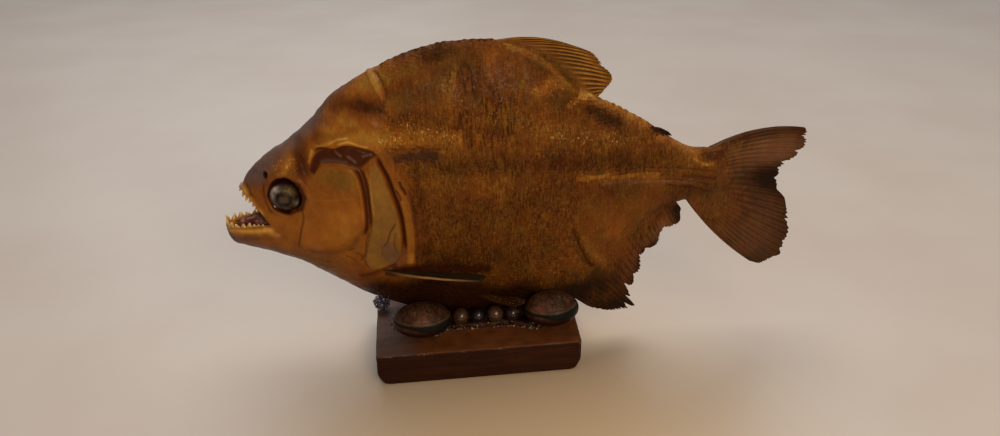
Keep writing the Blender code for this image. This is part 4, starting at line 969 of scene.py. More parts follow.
def build_scales(name, look, places, normals, unwrapped, rng):
    """Overlapping thin scales, each closed and free at its tail end, in one object."""
    count, around = len(places), 8
    onward = np.column_stack([np.ones(count), np.zeros(count), 0.12 * noise(places, 12.0, 31)])
    onward -= normals * np.sum(onward * normals, axis=1)[:, None]
    onward /= np.linalg.norm(onward, axis=1)[:, None]
    across = np.cross(normals, onward)
    turn = np.radians(rng.normal(0.0, 10.0, count))[:, None]
    onward, across = (onward * np.cos(turn) + across * np.sin(turn),
                      across * np.cos(turn) - onward * np.sin(turn))
    sleek = smoothstep(-3.0, 3.0, depth_in(SLEEK, places[:, 0], places[:, 2]))
    sleek = np.maximum(sleek, smoothstep(-4.0, -0.5, depth_in(HEAD_OUTLINE, places[:, 0], places[:, 2])))
    sleek = np.maximum(sleek, 0.9 * smoothstep(94.0, 103.0, places[:, 2]))
    size = rng.normal(1.0, 0.08, count) * (0.65 + 0.35 * smoothstep(92.0, 60.0, places[:, 0]))
    lift = np.clip(rng.normal(0.12, 0.04, count), 0.04, 0.26) * (1.0 - 0.55 * sleek)
    lift *= smoothstep(0.05, 0.55, np.abs(normals[:, 1]))
    curl = rng.uniform(-0.10, 0.10, count)
    angle = np.linspace(0.0, 2.0 * math.pi, around, endpoint=False)
    shape = [(0.0, 0.0, 1.0)]
    for reach, top in ((0.55, 1.0), (1.0, 1.0)):
        shape += [(reach * math.cos(a), reach * math.sin(a), top) for a in angle]
    shape += [(math.cos(a), math.sin(a), 0.0) for a in angle] + [(0.0, 0.0, 0.0)]
    points = []
    for a, b, top in shape:
        along, beside = 0.5 * SCALE_LENGTH * size * a, 0.5 * SCALE_WIDTH * size * b
        back = 0.5 + 0.5 * a
        height = -0.05 + lift * back ** 1.3 + curl * a * b + 0.05 * (1.0 - a * a - b * b)
        height = np.where(top > 0, height, height - 0.13)
        flat = places + onward * along[:, None] + across * beside[:, None]
        points.append(flat + normals * height[:, None])
    each = len(shape)
    points = np.stack(points, axis=1).reshape(-1, 3)
    edges = [(k, (k + 1) % around) for k in range(around)]
    inner, outer, lower, under = 1, 1 + around, 1 + 2 * around, 1 + 3 * around
    pattern = [(0, inner + a, inner + b) for a, b in edges]
    pattern += [(inner + a, outer + a, outer + b, inner + b) for a, b in edges]
    pattern += [(outer + a, lower + a, lower + b, outer + b) for a, b in edges]
    pattern += [(under, lower + b, lower + a) for a, b in edges]
    faces = [[i * each + corner for corner in face] for i in range(count) for face in pattern]
    made = new_object(name, points, faces, look)
    mesh = made.data
    owner = np.repeat(np.arange(count), each)
    colours = marks(places[:, 0], places[:, 2])
    tint = rng.normal(0.0, 0.020, count) * (1.0 - 0.6 * sleek)
    tips = np.tile([0.5 + 0.5 * a for a, _, _ in shape], count)
    paint(made, **{name: numbers[owner] for name, numbers in colours.items()},
          tint=tint[owner] + 0.035 * (tips - 0.5) * (1.0 - sleek[owner]))
    layer = mesh.uv_layers.new(name="OFBake")
    local = np.array([(0.5 * a, 0.5 * b) for a, b, _ in shape]) * UNWRAP_PATCH
    corners = np.empty(len(mesh.loops), dtype=np.int32)
    mesh.loops.foreach_get("vertex_index", corners)
    spots = unwrapped[owner[corners]] + local[corners % each]
    layer.data.foreach_set("uv", spots.astype(np.float32).ravel())
    return made


# ---- mouth and eyes ----
TONGUE_SIZE = (6.6, 3.0, 2.5)
TONGUE_PLACE = (-74.2, 0.0, 57.3)
TOOTH_AROUND, TOOTH_RINGS = 12, 9


def tooth(root, up, along_rim, height, half, lean):
    """Flat pointed tooth with a swollen foot: its points and faces, and how high up each point is."""
    through = np.cross(along_rim, up)
    points, heights = [], []
    for f in np.arange(TOOTH_RINGS) / (TOOTH_RINGS - 1):
        width = half * (1.0 - f) ** 0.85 + 0.05
        depth = half * 0.55 * (1.0 - f) ** 0.6 + 0.05
        centre = root + up * (height * (f * 1.22 - 0.22)) + along_rim * (lean * half * f * f)
        for k in range(TOOTH_AROUND):
            a = 2.0 * math.pi * k / TOOTH_AROUND
            points.append(centre + along_rim * (width * math.cos(a)) + through * (depth * math.sin(a)))
            heights.append(f)
    return points, tube_faces(TOOTH_AROUND, TOOTH_RINGS), heights


def tooth_row(name, look, rim, heights, halves, worn, lean_out, seed):
    """Teeth along both sides of a jaw's rim, from the front backwards, those of the left side worn down."""
    rng = np.random.default_rng(seed)
    side_path = curve(rim, 60)[::-1]
    width = half_width(side_path[:, 0], side_path[:, 1]) - 0.55 * JAW_WALL
    path = np.column_stack([side_path[:, 0], np.maximum(width, 0.0), side_path[:, 1]])
    path = np.vstack([(path[0, 0] - 0.2, 0.0, path[0, 2]), path])
    reached = lengths_along(path)
    parts, grown = [], []
    for side in (-1, 1):
        arc = 0.0
        for height, half in zip(heights, halves):
            arc += half
            root = point_at(arc, reached, path)
            along_rim = point_at(arc + 0.3, reached, path) - root
            along_rim /= np.linalg.norm(along_rim)
            up = lean_out - along_rim * (lean_out @ along_rim)
            up /= np.linalg.norm(up)
            flip = np.array((1.0, side, 1.0))
            height = height * rng.uniform(0.60, 1.12) * (worn if side < 0 else 1.0)
            points, faces, fractions = tooth(root * flip, up * flip, along_rim * flip, height,
                                             half * rng.uniform(1.02, 1.30), rng.uniform(-0.45, 0.75))
            parts.append((points, faces))
            grown += fractions
            arc += half
    made = outward(joined(name, parts, look))
    paint(made, rise=np.array(grown))
    return made


def build_eye(name, look, node):
    """Bulging dried eyeball, dented round its edge, with its pupil, iris, mossy and cloudy spots, a painted
    highlight and a rim of painted shade marked on it.
    """
    centre, radii = box_of(node)
    side = np.sign(centre[1])
    radii = radii * (0.87, 1.0, 0.87)
    eye = ellipsoid(name, (0.0, 0.0, 0.0), radii, 96, 48, look)
    points = points_of(eye)
    x, _, z = points.T
    ring = np.hypot(x, z) / radii[0]

    def spot(across, up, wide, tall):
        return bell((x - across) / wide, (z - up) / tall)

    iris = bell((np.hypot(x + 0.3, 1.2 * (z + 0.1)) - 2.3) / 0.8) * (1.0 - spot(1.8, 2.6, 2.0, 1.4))
    moss = spot(1.6, 2.7, 2.2, 1.4) + 0.6 * spot(-3.3, -2.7, 1.3, 1.0) + 0.4 * spot(0.6, -3.4, 2.0, 0.7)
    # The pale spots: a painted highlight on the upper left and down the left side, and pale cloudy specks on
    # the lower right.
    bloom = spot(-2.8, 3.2, 1.2, 0.85) + 0.65 * spot(-4.0, 1.1, 1.0, 2.0) + 0.5 * spot(3.6, -2.6, 0.8, 1.4)
    pupil = np.exp(-np.maximum(np.abs(x + 0.3) / 1.35, np.abs(z + 0.1) / 1.05) ** 6)
    # The rim's painted shade, from the socket: wider to the upper right.
    edge = np.clip(np.hypot(x + 0.45, z + 0.30) / radii[0], 0.0, 1.0)
    paint(eye, ring=edge, iris=iris, pupil=pupil, moss=moss, bloom=bloom)
    points[:, 1] += side * 0.16 * noise(points + 40.0 * side, 2.2, 11)
    points[:, 1] += side * 0.07 * noise(points + 40.0 * side, 0.8, 12)
    points[:, 1] -= side * 0.25 * bell((ring - 0.82) / 0.08)
    set_points(eye, points + centre + (-0.55, 0.0, -0.25))
    return eye


def build_tongue(look):
    """The shrunken tongue, furrowed along its middle."""
    tongue = ellipsoid("tongue_flesh", (0.0, 0.0, 0.0), TONGUE_SIZE, 72, 36, look)
    points = points_of(tongue)
    points[:, 2] -= 0.35 * bell(points[:, 1] / 0.7) * (points[:, 2] > 0)
    points += normals_of(tongue) * (0.50 * noise(points, 1.7, 21) + 0.22 * noise(points, 0.8, 22))[:, None]
    set_points(tongue, points + TONGUE_PLACE)
    return tongue


# ---- the block and what is glued on it ----
BLOCK_LOW, BLOCK_HIGH = corners_of("base_block")
BLOCK_SKEW = 2.5              # how much shorter its front edge is
BLOCK_END_ROUND = 2.2         # how far its ends pull in at the foot, and from what height
BLOCK_END_HEIGHT = 4.8
BLOCK_TOP = BLOCK_HIGH[2]
BLOCK_GRID = 0.5
GLUE_TOP = corners_of("resin_bed")[1][2]
GLUE_MIDDLE, GLUE_HALF = (corner[:2] for corner in box_of("resin_bed"))
GLUE_GRID = 0.5
CORE_SIZE = (27.0, 4.2, 2.6)
CORE_PLACE = (2.0, 0.0, BLOCK_TOP + 2.0)


def slab(name, corners, low, high, radius, look=None):
    """Closed slab with rounded upright corners."""
    plan = []
    corners = [np.array(c, dtype=float) for c in corners]
    for i, corner in enumerate(corners):
        back = corners[i - 1] - corner
        onward = corners[(i + 1) % len(corners)] - corner
        back, onward = back / np.linalg.norm(back), onward / np.linalg.norm(onward)
        centre = corner + (back + onward) * radius
        for a in np.linspace(0.0, math.pi / 2, 7):
            plan.append(centre - (onward * math.cos(a) + back * math.sin(a)) * radius)
    plan = np.array(plan)
    return loft(name, [np.column_stack([plan, np.full(len(plan), z)]) for z in (low, high)], look)


def build_block(look):
    """The worn block: rounded edges, shallow dents and chips along its top edges."""
    x0, x1, y0, y1 = BLOCK_LOW[0], BLOCK_HIGH[0], BLOCK_LOW[1], BLOCK_HIGH[1]
    block = slab("worn_block", [(x0, y0), (x1 - BLOCK_SKEW, y0), (x1, y1), (x0, y1)], 0.0, BLOCK_TOP, 1.6)
    crisp = tree_of(block)
    remesh(block, BLOCK_GRID, 2)
    normals = normals_of(block)
    points = np.array([crisp.find_nearest(Vector(point) * MM)[0] for point in points_of(block)]) / MM
    corner = smoothstep(0.93, 0.78, np.abs(normals).max(axis=1))
    chips = smoothstep(0.15, 0.55, noise(points, 2.6, 51) + 0.4 * noise(points, 0.9, 52)) * corner
    top_edge = smoothstep(BLOCK_TOP - 2.5, BLOCK_TOP - 0.6, points[:, 2])
    dents = 0.10 * noise(points, 7.0, 53) + 0.05 * noise(points, 2.0, 54)
    saw = 0.05 * noise(points * (0.25, 1.0, 1.0), 0.7, 55)
    rise = np.minimum(dents + saw, 0.0) - 0.5 * chips * top_edge - 0.12 * corner
    bottom = smoothstep(0.9, 0.2, points[:, 2])
    points = points + normals * (rise * (1.0 - bottom))[:, None]
    points[:, 2] = np.maximum(points[:, 2], 0.0)
    middle = 0.5 * (x0 + x1)
    low_down = np.maximum(1.0 - points[:, 2] / BLOCK_END_HEIGHT, 0.0)
    points[:, 0] = middle + (points[:, 0] - middle) * (1.0 - BLOCK_END_ROUND * low_down ** 2 / (x1 - middle))
    set_points(block, points)
    finish_with(block, look)
    # Painted light: upward faces are painted lighter and the sides darker, and the pale patch on the left of
    # the top is a painted sheen.
    upper = smoothstep(0.7, 0.95, normals[:, 2])
    worn = chips * top_edge + 0.5 * corner * smoothstep(0.1, 0.6, noise(points, 3.0, 56))
    dusty = 0.75 * upper * smoothstep(-17.0, -33.0, points[:, 0] + 3.0 * noise(points, 4.0, 57))
    paint(block, upper=upper, worn=worn, dusty=dusty)
    return block


def glue_waist(across):
    """How far the glue's outline is pulled in; across runs from -1 to 1 along the block."""
    return 1.0 - 0.42 * smoothstep(0.62, 0.30, np.abs(across))


def build_glue(look):
    """The lumpy glue under the fish, with its ragged outline."""
    loops = []
    around = np.linspace(0.0, 2.0 * math.pi, 90, endpoint=False)
    ring = np.column_stack([np.cos(around), np.sin(around)])
    waist = np.column_stack([np.ones(len(ring)), glue_waist(ring[:, 0])])
    for z, spread in ((BLOCK_TOP - 0.4, 0.97), (GLUE_TOP - 1.0, 0.95), (GLUE_TOP - 0.2, 0.84)):
        reach = spread * (0.95 + 0.06 * noise(ring * 6.0, 2.0, 61))
        outline = GLUE_MIDDLE + ring * waist * GLUE_HALF * reach[:, None]
        loops.append(np.column_stack([outline, np.full(len(ring), z)]))
    glue = loft("glue_bed", loops)
    remesh(glue, GLUE_GRID, 4)
    points, normals = points_of(glue), normals_of(glue)
    rise = 0.40 * noise(points, 3.2, 62) + 0.18 * noise(points, 1.2, 63)
    rise = rise * smoothstep(BLOCK_TOP, BLOCK_TOP + 0.6, points[:, 2])
    set_points(glue, points + normals * rise[:, None])
    finish_with(glue, look)
    return glue


def build_core(look):
    """Dark glue that fills the gap under the belly, between the rows of seeds, and stands in for the shade in
    that gap.
    """
    core = ellipsoid("glue_core", (0.0, 0.0, 0.0), CORE_SIZE, 96, 32, look)
    points = points_of(core)
    points += normals_of(core) * (0.45 * noise(points, 2.6, 64) + 0.20 * noise(points, 1.0, 65))[:, None]
    set_points(core, points + CORE_PLACE)
    return core


def build_bean(name, look, node, seed):
    """Hard bean: a dark band runs low along its side, and a thin pale line above it."""
    centre, radii = box_of(node)
    bean = ellipsoid(name, (0.0, 0.0, 0.0), (1.0, 1.0, 1.0), 96, 48, look)
    unit = points_of(bean)
    x, y, z = unit.T
    drop = 0.26 + 0.10 * math.sin(seed) * x - z
    tall = 0.16 + 0.40 * smoothstep(-0.7, 0.5, x)
    front = smoothstep(-0.75, -0.25, y * np.sign(centre[1]) + 0.5 * x)
    band = smoothstep(-0.03, 0.03, drop) * smoothstep(0.03, -0.03, drop - tall) * front
    line = bell((drop + 0.05) / 0.03) * front
    swell = 1.0 - 0.02 * line + 0.015 * band + 0.02 * noise(unit + seed, 0.7, 70 + seed)
    set_points(bean, centre + unit * swell[:, None] * radii * 0.985)
    blush_at = -0.25 - 0.20 * np.sign(centre[0])
    paint(bean, band=band, line=line, blush=bell((x - blush_at) / 0.30, (z - 0.45) / 0.40),
          under=smoothstep(0.25, 0.60, drop), dust=smoothstep(0.45, 0.95, z))
    return bean


def build_seed(name, look, node, seed):
    """Polished round seed with a small navel."""
    centre, radii = box_of(node)
    bead = ellipsoid(name, (0.0, 0.0, 0.0), (1.0, 1.0, 1.0), 48, 24, look)
    unit = points_of(bead)
    rng = np.random.default_rng(seed)
    navel = rng.normal(size=3)
    navel /= np.linalg.norm(navel)
    near_navel = bell((1.0 - unit @ navel) / 0.03)
    swell = 1.0 - 0.06 * near_navel + 0.02 * noise(unit + seed, 0.9, 80)
    set_points(bead, centre + unit * swell[:, None] * radii * 1.06)
    paint(bead, navel=near_navel, lot=rng.uniform())
    return bead


def build_heap(name, look, node, count, radius, seed):
    """Heap of tiny beads filling a solid's shape."""
    centre, half = box_of(node)
    rng = np.random.default_rng(seed)
    chosen = []
    for _ in range(40 * count):
        spot = rng.uniform(-1.0, 1.0, 3)
        place = centre + spot * (half - 0.6 * radius)
        apart = all(np.linalg.norm(place - other) > 1.75 * radius for other in chosen)
        if np.linalg.norm(spot) < 1.0 and apart:
            chosen.append(place)
        if len(chosen) == count:
            break
    unit, faces = ball(bmesh.ops.create_icosphere, subdivisions=2)
    parts, lots = [], []
    for place in chosen:
        sizes = radius * rng.uniform(0.85, 1.08) * rng.uniform(0.92, 1.06, 3)
        parts.append((place + unit * sizes, faces))
        lots += [rng.uniform()] * len(unit)
    heap = joined(name, parts, look)
    paint(heap, lot=np.array(lots), navel=0.0)
    return heap


def build_grit(look, count):
    """Coarse grit and sawdust stuck along the edge of the glue."""
    rng = np.random.default_rng(91)
    unit, faces = ball(bmesh.ops.create_icosphere, subdivisions=1)
    parts, lots = [], []
    for _ in range(count):
        a = rng.uniform(0.0, 2.0 * math.pi)
        reach = rng.normal(0.97, 0.05)
        size = rng.uniform(0.18, 0.48)
        x, y = GLUE_MIDDLE + GLUE_HALF * reach * (math.cos(a), math.sin(a) * float(glue_waist(math.cos(a))))
        height = BLOCK_TOP + 0.3 * size + 1.6 * float(smoothstep(1.0, 0.86, reach))
        lumps = unit * rng.uniform(0.7, 1.3, (len(unit), 1)) * size * (1.0, 1.0, 0.7)
        parts.append((np.array([x, y, height]) + lumps, faces))
        lots += [rng.uniform()] * len(unit)
    grit = joined("glue_grit", parts, look)
    paint(grit, lot=np.array(lots))
    return grit


# ---- materials ----
class Value:
    """What a node's socket carries, for use in sums."""

    def __init__(self, look, socket):
        self.look = look
        self.socket = socket

    def __add__(self, other):
        return self.look.math("ADD", self, other)

    def __sub__(self, other):
        return self.look.math("SUBTRACT", self, other)

    def __rsub__(self, other):
        return self.look.math("SUBTRACT", other, self)

    def __mul__(self, other):
        return self.look.math("MULTIPLY", self, other)


class Look:
    """A material built from its nodes, with coordinates in millimetres."""

    def __init__(self, name, roughness=0.5, coat=0.0, coat_roughness=0.1, specular=0.5):
        self.material = bpy.data.materials.new(name)
        self.material.use_nodes = True
        self.tree = self.material.node_tree
        self.shader = self.tree.nodes["Principled BSDF"].inputs
        self.shader["Roughness"].default_value = roughness
        self.shader["Coat Weight"].default_value = coat
        self.shader["Coat Roughness"].default_value = coat_roughness
        self.shader["Specular IOR Level"].default_value = specular
        coordinates = self.wire(self.add("TexCoord"), "Object", {})
        self.place = self.vector("MULTIPLY", coordinates, (1.0 / MM,) * 3)
        self.colour = None
        self.bumps = None

    def fill(self, socket, value):
        if isinstance(value, Value):
            self.tree.links.new(value.socket, socket)
        elif socket.type == "RGBA":
            socket.default_value = (*value, 1.0)
        else:
            socket.default_value = value

    def add(self, kind):
        return self.tree.nodes.new("ShaderNode" + kind)

    def wire(self, node, output, inputs):
        """Fills a node's inputs, by name or number, and gives one of its outputs."""
        for key, value in inputs.items():
            self.fill(node.inputs[key], value)
        return Value(self, node.outputs[output])

    def vector(self, operation, a, b, output="Vector"):
        node = self.add("VectorMath")
        node.operation = operation
        return self.wire(node, output, {0: a, 1: b})

    def math(self, operation, a, b=0.0):
        node = self.add("Math")
        node.operation = operation
        return self.wire(node, "Value", {0: a, 1: b})

    def read(self, name):
        """A number painted on the mesh."""
        node = self.add("Attribute")
        node.attribute_name = name
        return Value(self, node.outputs["Fac"])

    def stretched(self, size, stretch):
        return self.vector("DIVIDE", self.place, tuple(size * s for s in stretch))

    def noise(self, size, detail=3.0, roughness=0.5, stretch=(1.0, 1.0, 1.0), distortion=0.0):
        """Noise whose lumps are about that many millimetres, longer where stretch is more than 1."""
        inputs = {"Vector": self.stretched(size, stretch), "Scale": 1.0, "Detail": detail,
                  "Roughness": roughness, "Distortion": distortion}
        return self.wire(self.add("TexNoise"), "Fac", inputs)

    def dots(self, size, high, low, stretch=(1.0, 1.0, 1.0)):
        """Spots set that far apart: 1 within low of a spot's middle, 0 beyond high."""
        inputs = {"Vector": self.stretched(size, stretch), "Scale": 1.0}
        return self.step(self.wire(self.add("TexVoronoi"), "Distance", inputs), high, low)

    def step(self, value, low, high, bottom=0.0, top=1.0):
        """Value eased from bottom at low to top at high."""
        node = self.add("MapRange")
        node.interpolation_type = "SMOOTHSTEP"
        return self.wire(node, "Result", dict(enumerate((value, low, high, bottom, top))))

    def between(self, value, bottom, top):
        """Eases a noise from bottom to top over most of its range."""
        return self.step(value, 0.3, 0.7, bottom, top)

    def mix(self, factor, a, b):
        node = self.add("Mix")
        node.data_type = "RGBA"
        return self.wire(node, 2, {0: factor, 6: a, 7: b})

    def lay(self, factor, colour):
        """Lays another colour over the material's, where factor says."""
        self.colour = self.mix(factor, self.colour, colour)

    def ramp(self, value, *stops):
        """Colour read off a run of (place, colour) stops."""
        node = self.add("ValToRGB")
        elements = node.color_ramp.elements
        while len(elements) < len(stops):
            elements.new(0.5)
        for element, (place, colour) in zip(elements, stops):
            element.position = place
            element.color = (*colour, 1.0)
        return self.wire(node, "Color", {"Fac": value})

    def bump(self, height, depth):
        """Adds relief: height runs from 0 to 1 and depth is in millimetres."""
        inputs = {"Strength": 1.0, "Distance": depth * MM, "Height": height}
        if self.bumps:
            inputs["Normal"] = self.bumps
        self.bumps = self.wire(self.add("Bump"), "Normal", inputs)

    def done(self, roughness=None):
        self.fill(self.shader["Base Color"], self.colour)
        if roughness is not None:
            self.fill(self.shader["Roughness"], roughness)
        if self.bumps:
            self.fill(self.shader["Normal"], self.bumps)
        return self.material


TISSUE = [(0.0, (0.009, 0.0024, 0.0006)), (0.25, (0.068, 0.0170, 0.0016)), (0.45, (0.175, 0.0490, 0.0055)),
          (0.65, (0.310, 0.1000, 0.0095)), (0.85, (0.470, 0.190, 0.0220)), (1.0, (0.640, 0.345, 0.0700))]
OLIVE = [(0.0, (0.012, 0.0065, 0.0012)), (0.25, (0.056, 0.0260, 0.0024)), (0.45, (0.148, 0.0640, 0.0078)),
         (0.65, (0.272, 0.128, 0.0160)), (0.85, (0.440, 0.238, 0.0340)), (1.0, (0.600, 0.390, 0.0950))]
# Dark red umber, also the colour of the painted shade in creases, under the gill cover, round the eye and on
# the belly.
UMBER = (0.044, 0.0070, 0.0015)
# Ashen grey, on the snout, forehead and chin partly a painted sheen.
ASH = (0.158, 0.0950, 0.0770)
# The colour of the painted glints.
PAINTED_GLINT = (0.80, 0.52, 0.18)


def tissue(name, coat, scaly=False):
    """Dried varnished skin, with painted shade and highlights on its wrinkles and painted glints. Its marks
    come from the mesh, so skin, scales and fin roots match.
    """
    look = Look(name, coat=coat, coat_roughness=0.20, specular=0.05)
    broad = look.noise(14.0, 4.0, 0.6)
    blotch = look.noise(3.2, 4.0, 0.6, (1.0, 1.0, 1.6), 0.4)
    stroke = look.noise(0.50, 3.0, 0.6, (1.0, 3.0, 4.5))
    folds = look.noise(2.4, 2.0, 0.5, (1.0, 4.0, 6.5), 0.35)
    wrinkle = look.read("wrinkle") * look.step(look.noise(6.0), 0.36, 0.56)
    # The wrinkles are painted darker along their creases, as painted shade, and lighter along their crests,
    # as painted highlights.
    crease = look.step(look.math("ABSOLUTE", folds - 0.5), 0.050, 0.0) * wrinkle
    crest = look.step(folds, 0.54, 0.62) * wrinkle
    lively = look.read("strokes") * look.step(look.noise(3.6), 0.36, 0.60, 0.35, 1.35)
    tone = look.read("tone") + look.step(broad, 0.25, 0.75, -0.05, 0.05)
    tone += look.step(blotch, 0.25, 0.75, -0.05, 0.05)
    tone += look.step(stroke, 0.32, 0.68, -0.085, 0.085) * lively
    tone += look.between(look.noise(0.9, 4.0, 0.65), -0.022, 0.022)
    tone = tone - crease * 0.19 + crest * 0.10
    if scaly:
        tone += look.read("tint")
    tone = look.math("MAXIMUM", tone, 0.030)
    olive = look.read("olive") + look.step(look.noise(8.0, 4.0, 0.6), 0.30, 0.75, -0.20, 0.28)
    olive += look.step(stroke, 0.34, 0.66, -0.40, 0.32) * lively
    look.colour = look.mix(look.step(olive, 0.0, 1.0), look.ramp(tone, *TISSUE), look.ramp(tone, *OLIVE))
    # Umber, and painted shade in the wrinkles' creases.
    look.lay(look.math("MAXIMUM", look.read("umber"), crease * 0.45), UMBER)
    look.lay(look.read("grey"), ASH)
    # Painted highlights: pale gold glints where the glint marks call for them, a little glossier too.
    glint_spots = look.step(look.noise(0.62, 2.0, 0.6, (1.0, 1.0, 1.6)), 0.60, 0.70, 0.0, 1.3)
    glint_spots = glint_spots * look.read("glint")
    look.lay(look.math("MINIMUM", glint_spots, 0.85), PAINTED_GLINT)
    look.bump(1.0 - crease, 0.15)
    look.bump(look.noise(1.1, 5.0, 0.65), 0.10)
    look.bump(look.noise(0.35, 3.0, 0.6), 0.05)
    return look.done(look.between(look.noise(2.2, 4.0, 0.6), 0.32, 0.60) - glint_spots * 0.25)


def ivory(name):
    """Dried teeth: amber and cloudy at the foot, paler and drier at the tip."""
    look = Look(name, coat=0.6, coat_roughness=0.12)
    rise = look.read("rise") + look.step(look.noise(0.9), 0.2, 0.8, -0.16, 0.16)
    look.colour = look.ramp(rise, (0.0, (0.23, 0.085, 0.012)), (0.30, (0.46, 0.20, 0.030)),
                            (0.60, (0.62, 0.36, 0.080)), (1.0, (0.78, 0.58, 0.26)))
    streaks = look.noise(0.5, stretch=(1.0, 1.0, 3.0))
    look.lay(look.step(streaks, 0.52, 0.66, 0.0, 0.45), (0.30, 0.12, 0.020))
    look.bump(look.noise(0.4, 4.0, stretch=(1.0, 1.0, 3.0)), 0.06)
    return look.done(look.between(look.noise(1.0), 0.25, 0.45))


def dried_flesh(name):
    """The shrunken tongue: dark red to pinkish grey, wrinkled and dull."""
    look = Look(name, coat=0.04, coat_roughness=0.3, specular=0.08)
    look.colour = look.ramp(look.noise(2.6, 4.0, 0.6), (0.28, (0.040, 0.006, 0.003)),
                            (0.48, (0.130, 0.028, 0.017)), (0.66, (0.34, 0.165, 0.130)))
    look.bump(look.noise(0.8, 5.0, 0.65), 0.15)
    return look.done(look.between(look.noise(1.4), 0.40, 0.65))


def glassy_eye(name):
    """Dried eye under varnish: dark and mottled, with mossy and cloudy spots, a painted highlight, a brown
    pupil and a dark rim painted as the shade of its socket.
    """
    look = Look(name, coat=0.16, coat_roughness=0.08, specular=0.08)
    cloud = look.noise(2.1, 5.0, 0.70, distortion=1.2)
    grain = look.noise(0.75, 4.0, 0.7)
    look.colour = look.ramp(cloud, (0.36, (0.010, 0.0050, 0.0030)), (0.50, (0.028, 0.0150, 0.0090)),
                            (0.62, (0.058, 0.036, 0.022)), (0.76, (0.15, 0.105, 0.060)))
    look.lay(look.read("moss") * look.step(grain, 0.38, 0.60, 0.15, 1.0), (0.165, 0.120, 0.032))
    # A painted highlight on the upper left, and pale cloudy specks.
    look.lay(look.read("bloom") * look.step(grain, 0.34, 0.56, 0.35, 1.0), (0.52, 0.42, 0.39))
    look.lay(look.read("iris") * 0.80, (0.0080, 0.0036, 0.0020))
    look.lay(look.read("pupil") * 0.90, (0.090, 0.046, 0.032))
    # Painted shade round the rim, from the socket.
    look.lay(look.step(look.read("ring"), 0.84, 0.98), (0.020, 0.0055, 0.0025))
    look.bump(cloud, 0.22)
    look.bump(look.noise(0.6, 4.0, 0.6), 0.05)
    return look.done(look.between(cloud, 0.18, 0.40))


def varnished_wood(name):
    """Dark red-brown hardwood: long grain, fine pores, a top lighter for its faded varnish and for painted
    light from above, sides painted darker, a painted sheen on the left of the top, and bare wood where it is
    worn.
    """
    look = Look(name, coat=0.08, coat_roughness=0.25, specular=0.08)
    upper = look.read("upper")
    grain = look.noise(2.2, 5.0, 0.62, (14.0, 1.0, 1.0), 0.5)
    pores = look.dots(0.45, 0.20, 0.08, (9.0, 1.0, 1.0))
    look.colour = look.ramp(grain, (0.25, (0.016, 0.0036, 0.0012)), (0.48, (0.044, 0.0105, 0.0026)),
                            (0.62, (0.070, 0.0190, 0.0050)), (0.80, (0.120, 0.036, 0.010)))
    look.lay(look.step(look.noise(9.0), 0.35, 0.70, 0.0, 0.35), (0.022, 0.005, 0.002))
    # The top, lighter: partly faded varnish and partly painted light.
    look.lay(upper * look.step(look.noise(6.0, 4.0), 0.30, 0.65, 0.55, 1.0) * 0.85, (0.185, 0.062, 0.018))
    # Painted shade: the sides darker than the top.
    look.lay(0.55 - upper * 0.55, (0.012, 0.0025, 0.0008))
    # Painted sheen: a pale reflection on the left of the top.
    look.lay(look.read("dusty"), (0.105, 0.066, 0.060))
    look.lay(pores * 0.6, (0.010, 0.004, 0.003))
    look.lay(look.read("worn") * look.step(look.noise(0.9, 4.0), 0.45, 0.60), (0.30, 0.15, 0.062))
    look.bump(grain, 0.12)
    look.bump(1.0 - pores, 0.06)
    look.bump(look.noise(0.5, 4.0, 0.6), 0.04)
    return look.done(look.between(look.noise(3.0, 4.0, stretch=(3.0, 1.0, 1.0)), 0.30, 0.62))


def cast_glue(name):
    """Dark glue, run and dusty, with sawdust in it."""
    look = Look(name, coat=0.04, coat_roughness=0.30, specular=0.10)
    look.colour = look.ramp(look.noise(3.0, 5.0, 0.62), (0.30, (0.007, 0.003, 0.002)),
                            (0.52, (0.026, 0.009, 0.005)), (0.74, (0.085, 0.036, 0.018)))
    look.lay(look.dots(0.7, 0.26, 0.10) * look.step(look.noise(4.0), 0.50, 0.62), (0.34, 0.23, 0.14))
    look.bump(look.noise(1.3, 5.0, 0.65), 0.25)
    return look.done(look.between(look.noise(2.0), 0.25, 0.60))


def gritty(name):
    """Grit from dark brown to pale, by each grain's lot number."""
    look = Look(name)
    lot = look.read("lot") + look.between(look.noise(0.5), -0.10, 0.10)
    look.colour = look.ramp(lot, (0.0, (0.030, 0.014, 0.009)), (0.45, (0.100, 0.050, 0.030)),
                            (0.75, (0.26, 0.165, 0.100)), (1.0, (0.50, 0.38, 0.26)))
    look.bump(look.noise(0.3), 0.08)
    return look.done(look.between(look.noise(0.8), 0.55, 0.85))


def bean_coat(name):
    """Hard speckled brown bean coat, with its dark band, thin pale line, reddish blush and dusty top."""
    look = Look(name, coat=0.06, coat_roughness=0.26, specular=0.10)
    mottle = look.noise(1.9, 5.0, 0.68, distortion=0.5)
    look.colour = look.ramp(mottle, (0.28, (0.010, 0.0040, 0.0016)), (0.50, (0.036, 0.0150, 0.0060)),
                            (0.66, (0.080, 0.034, 0.019)), (0.82, (0.150, 0.070, 0.048)))
    look.lay(look.read("blush") * look.step(mottle, 0.36, 0.60, 0.25, 0.80), (0.165, 0.058, 0.034))
    look.lay(look.dots(0.55, 0.24, 0.10) * 0.5, (0.010, 0.005, 0.004))
    look.lay(look.read("under"), (0.018, 0.0042, 0.0028))
    look.lay(look.read("band"), (0.0045, 0.0045, 0.0028))
    look.lay(look.read("line") * 0.30, (0.20, 0.125, 0.055))
    dust = look.dots(0.42, 0.30, 0.14) * look.step(look.noise(2.4), 0.42, 0.56) * look.read("dust")
    look.lay(dust * 0.8, (0.46, 0.27, 0.085))
    look.bump(mottle, 0.06)
    look.bump(look.noise(0.5, 4.0), 0.05)
    return look.done(look.between(look.noise(1.5), 0.34, 0.58))


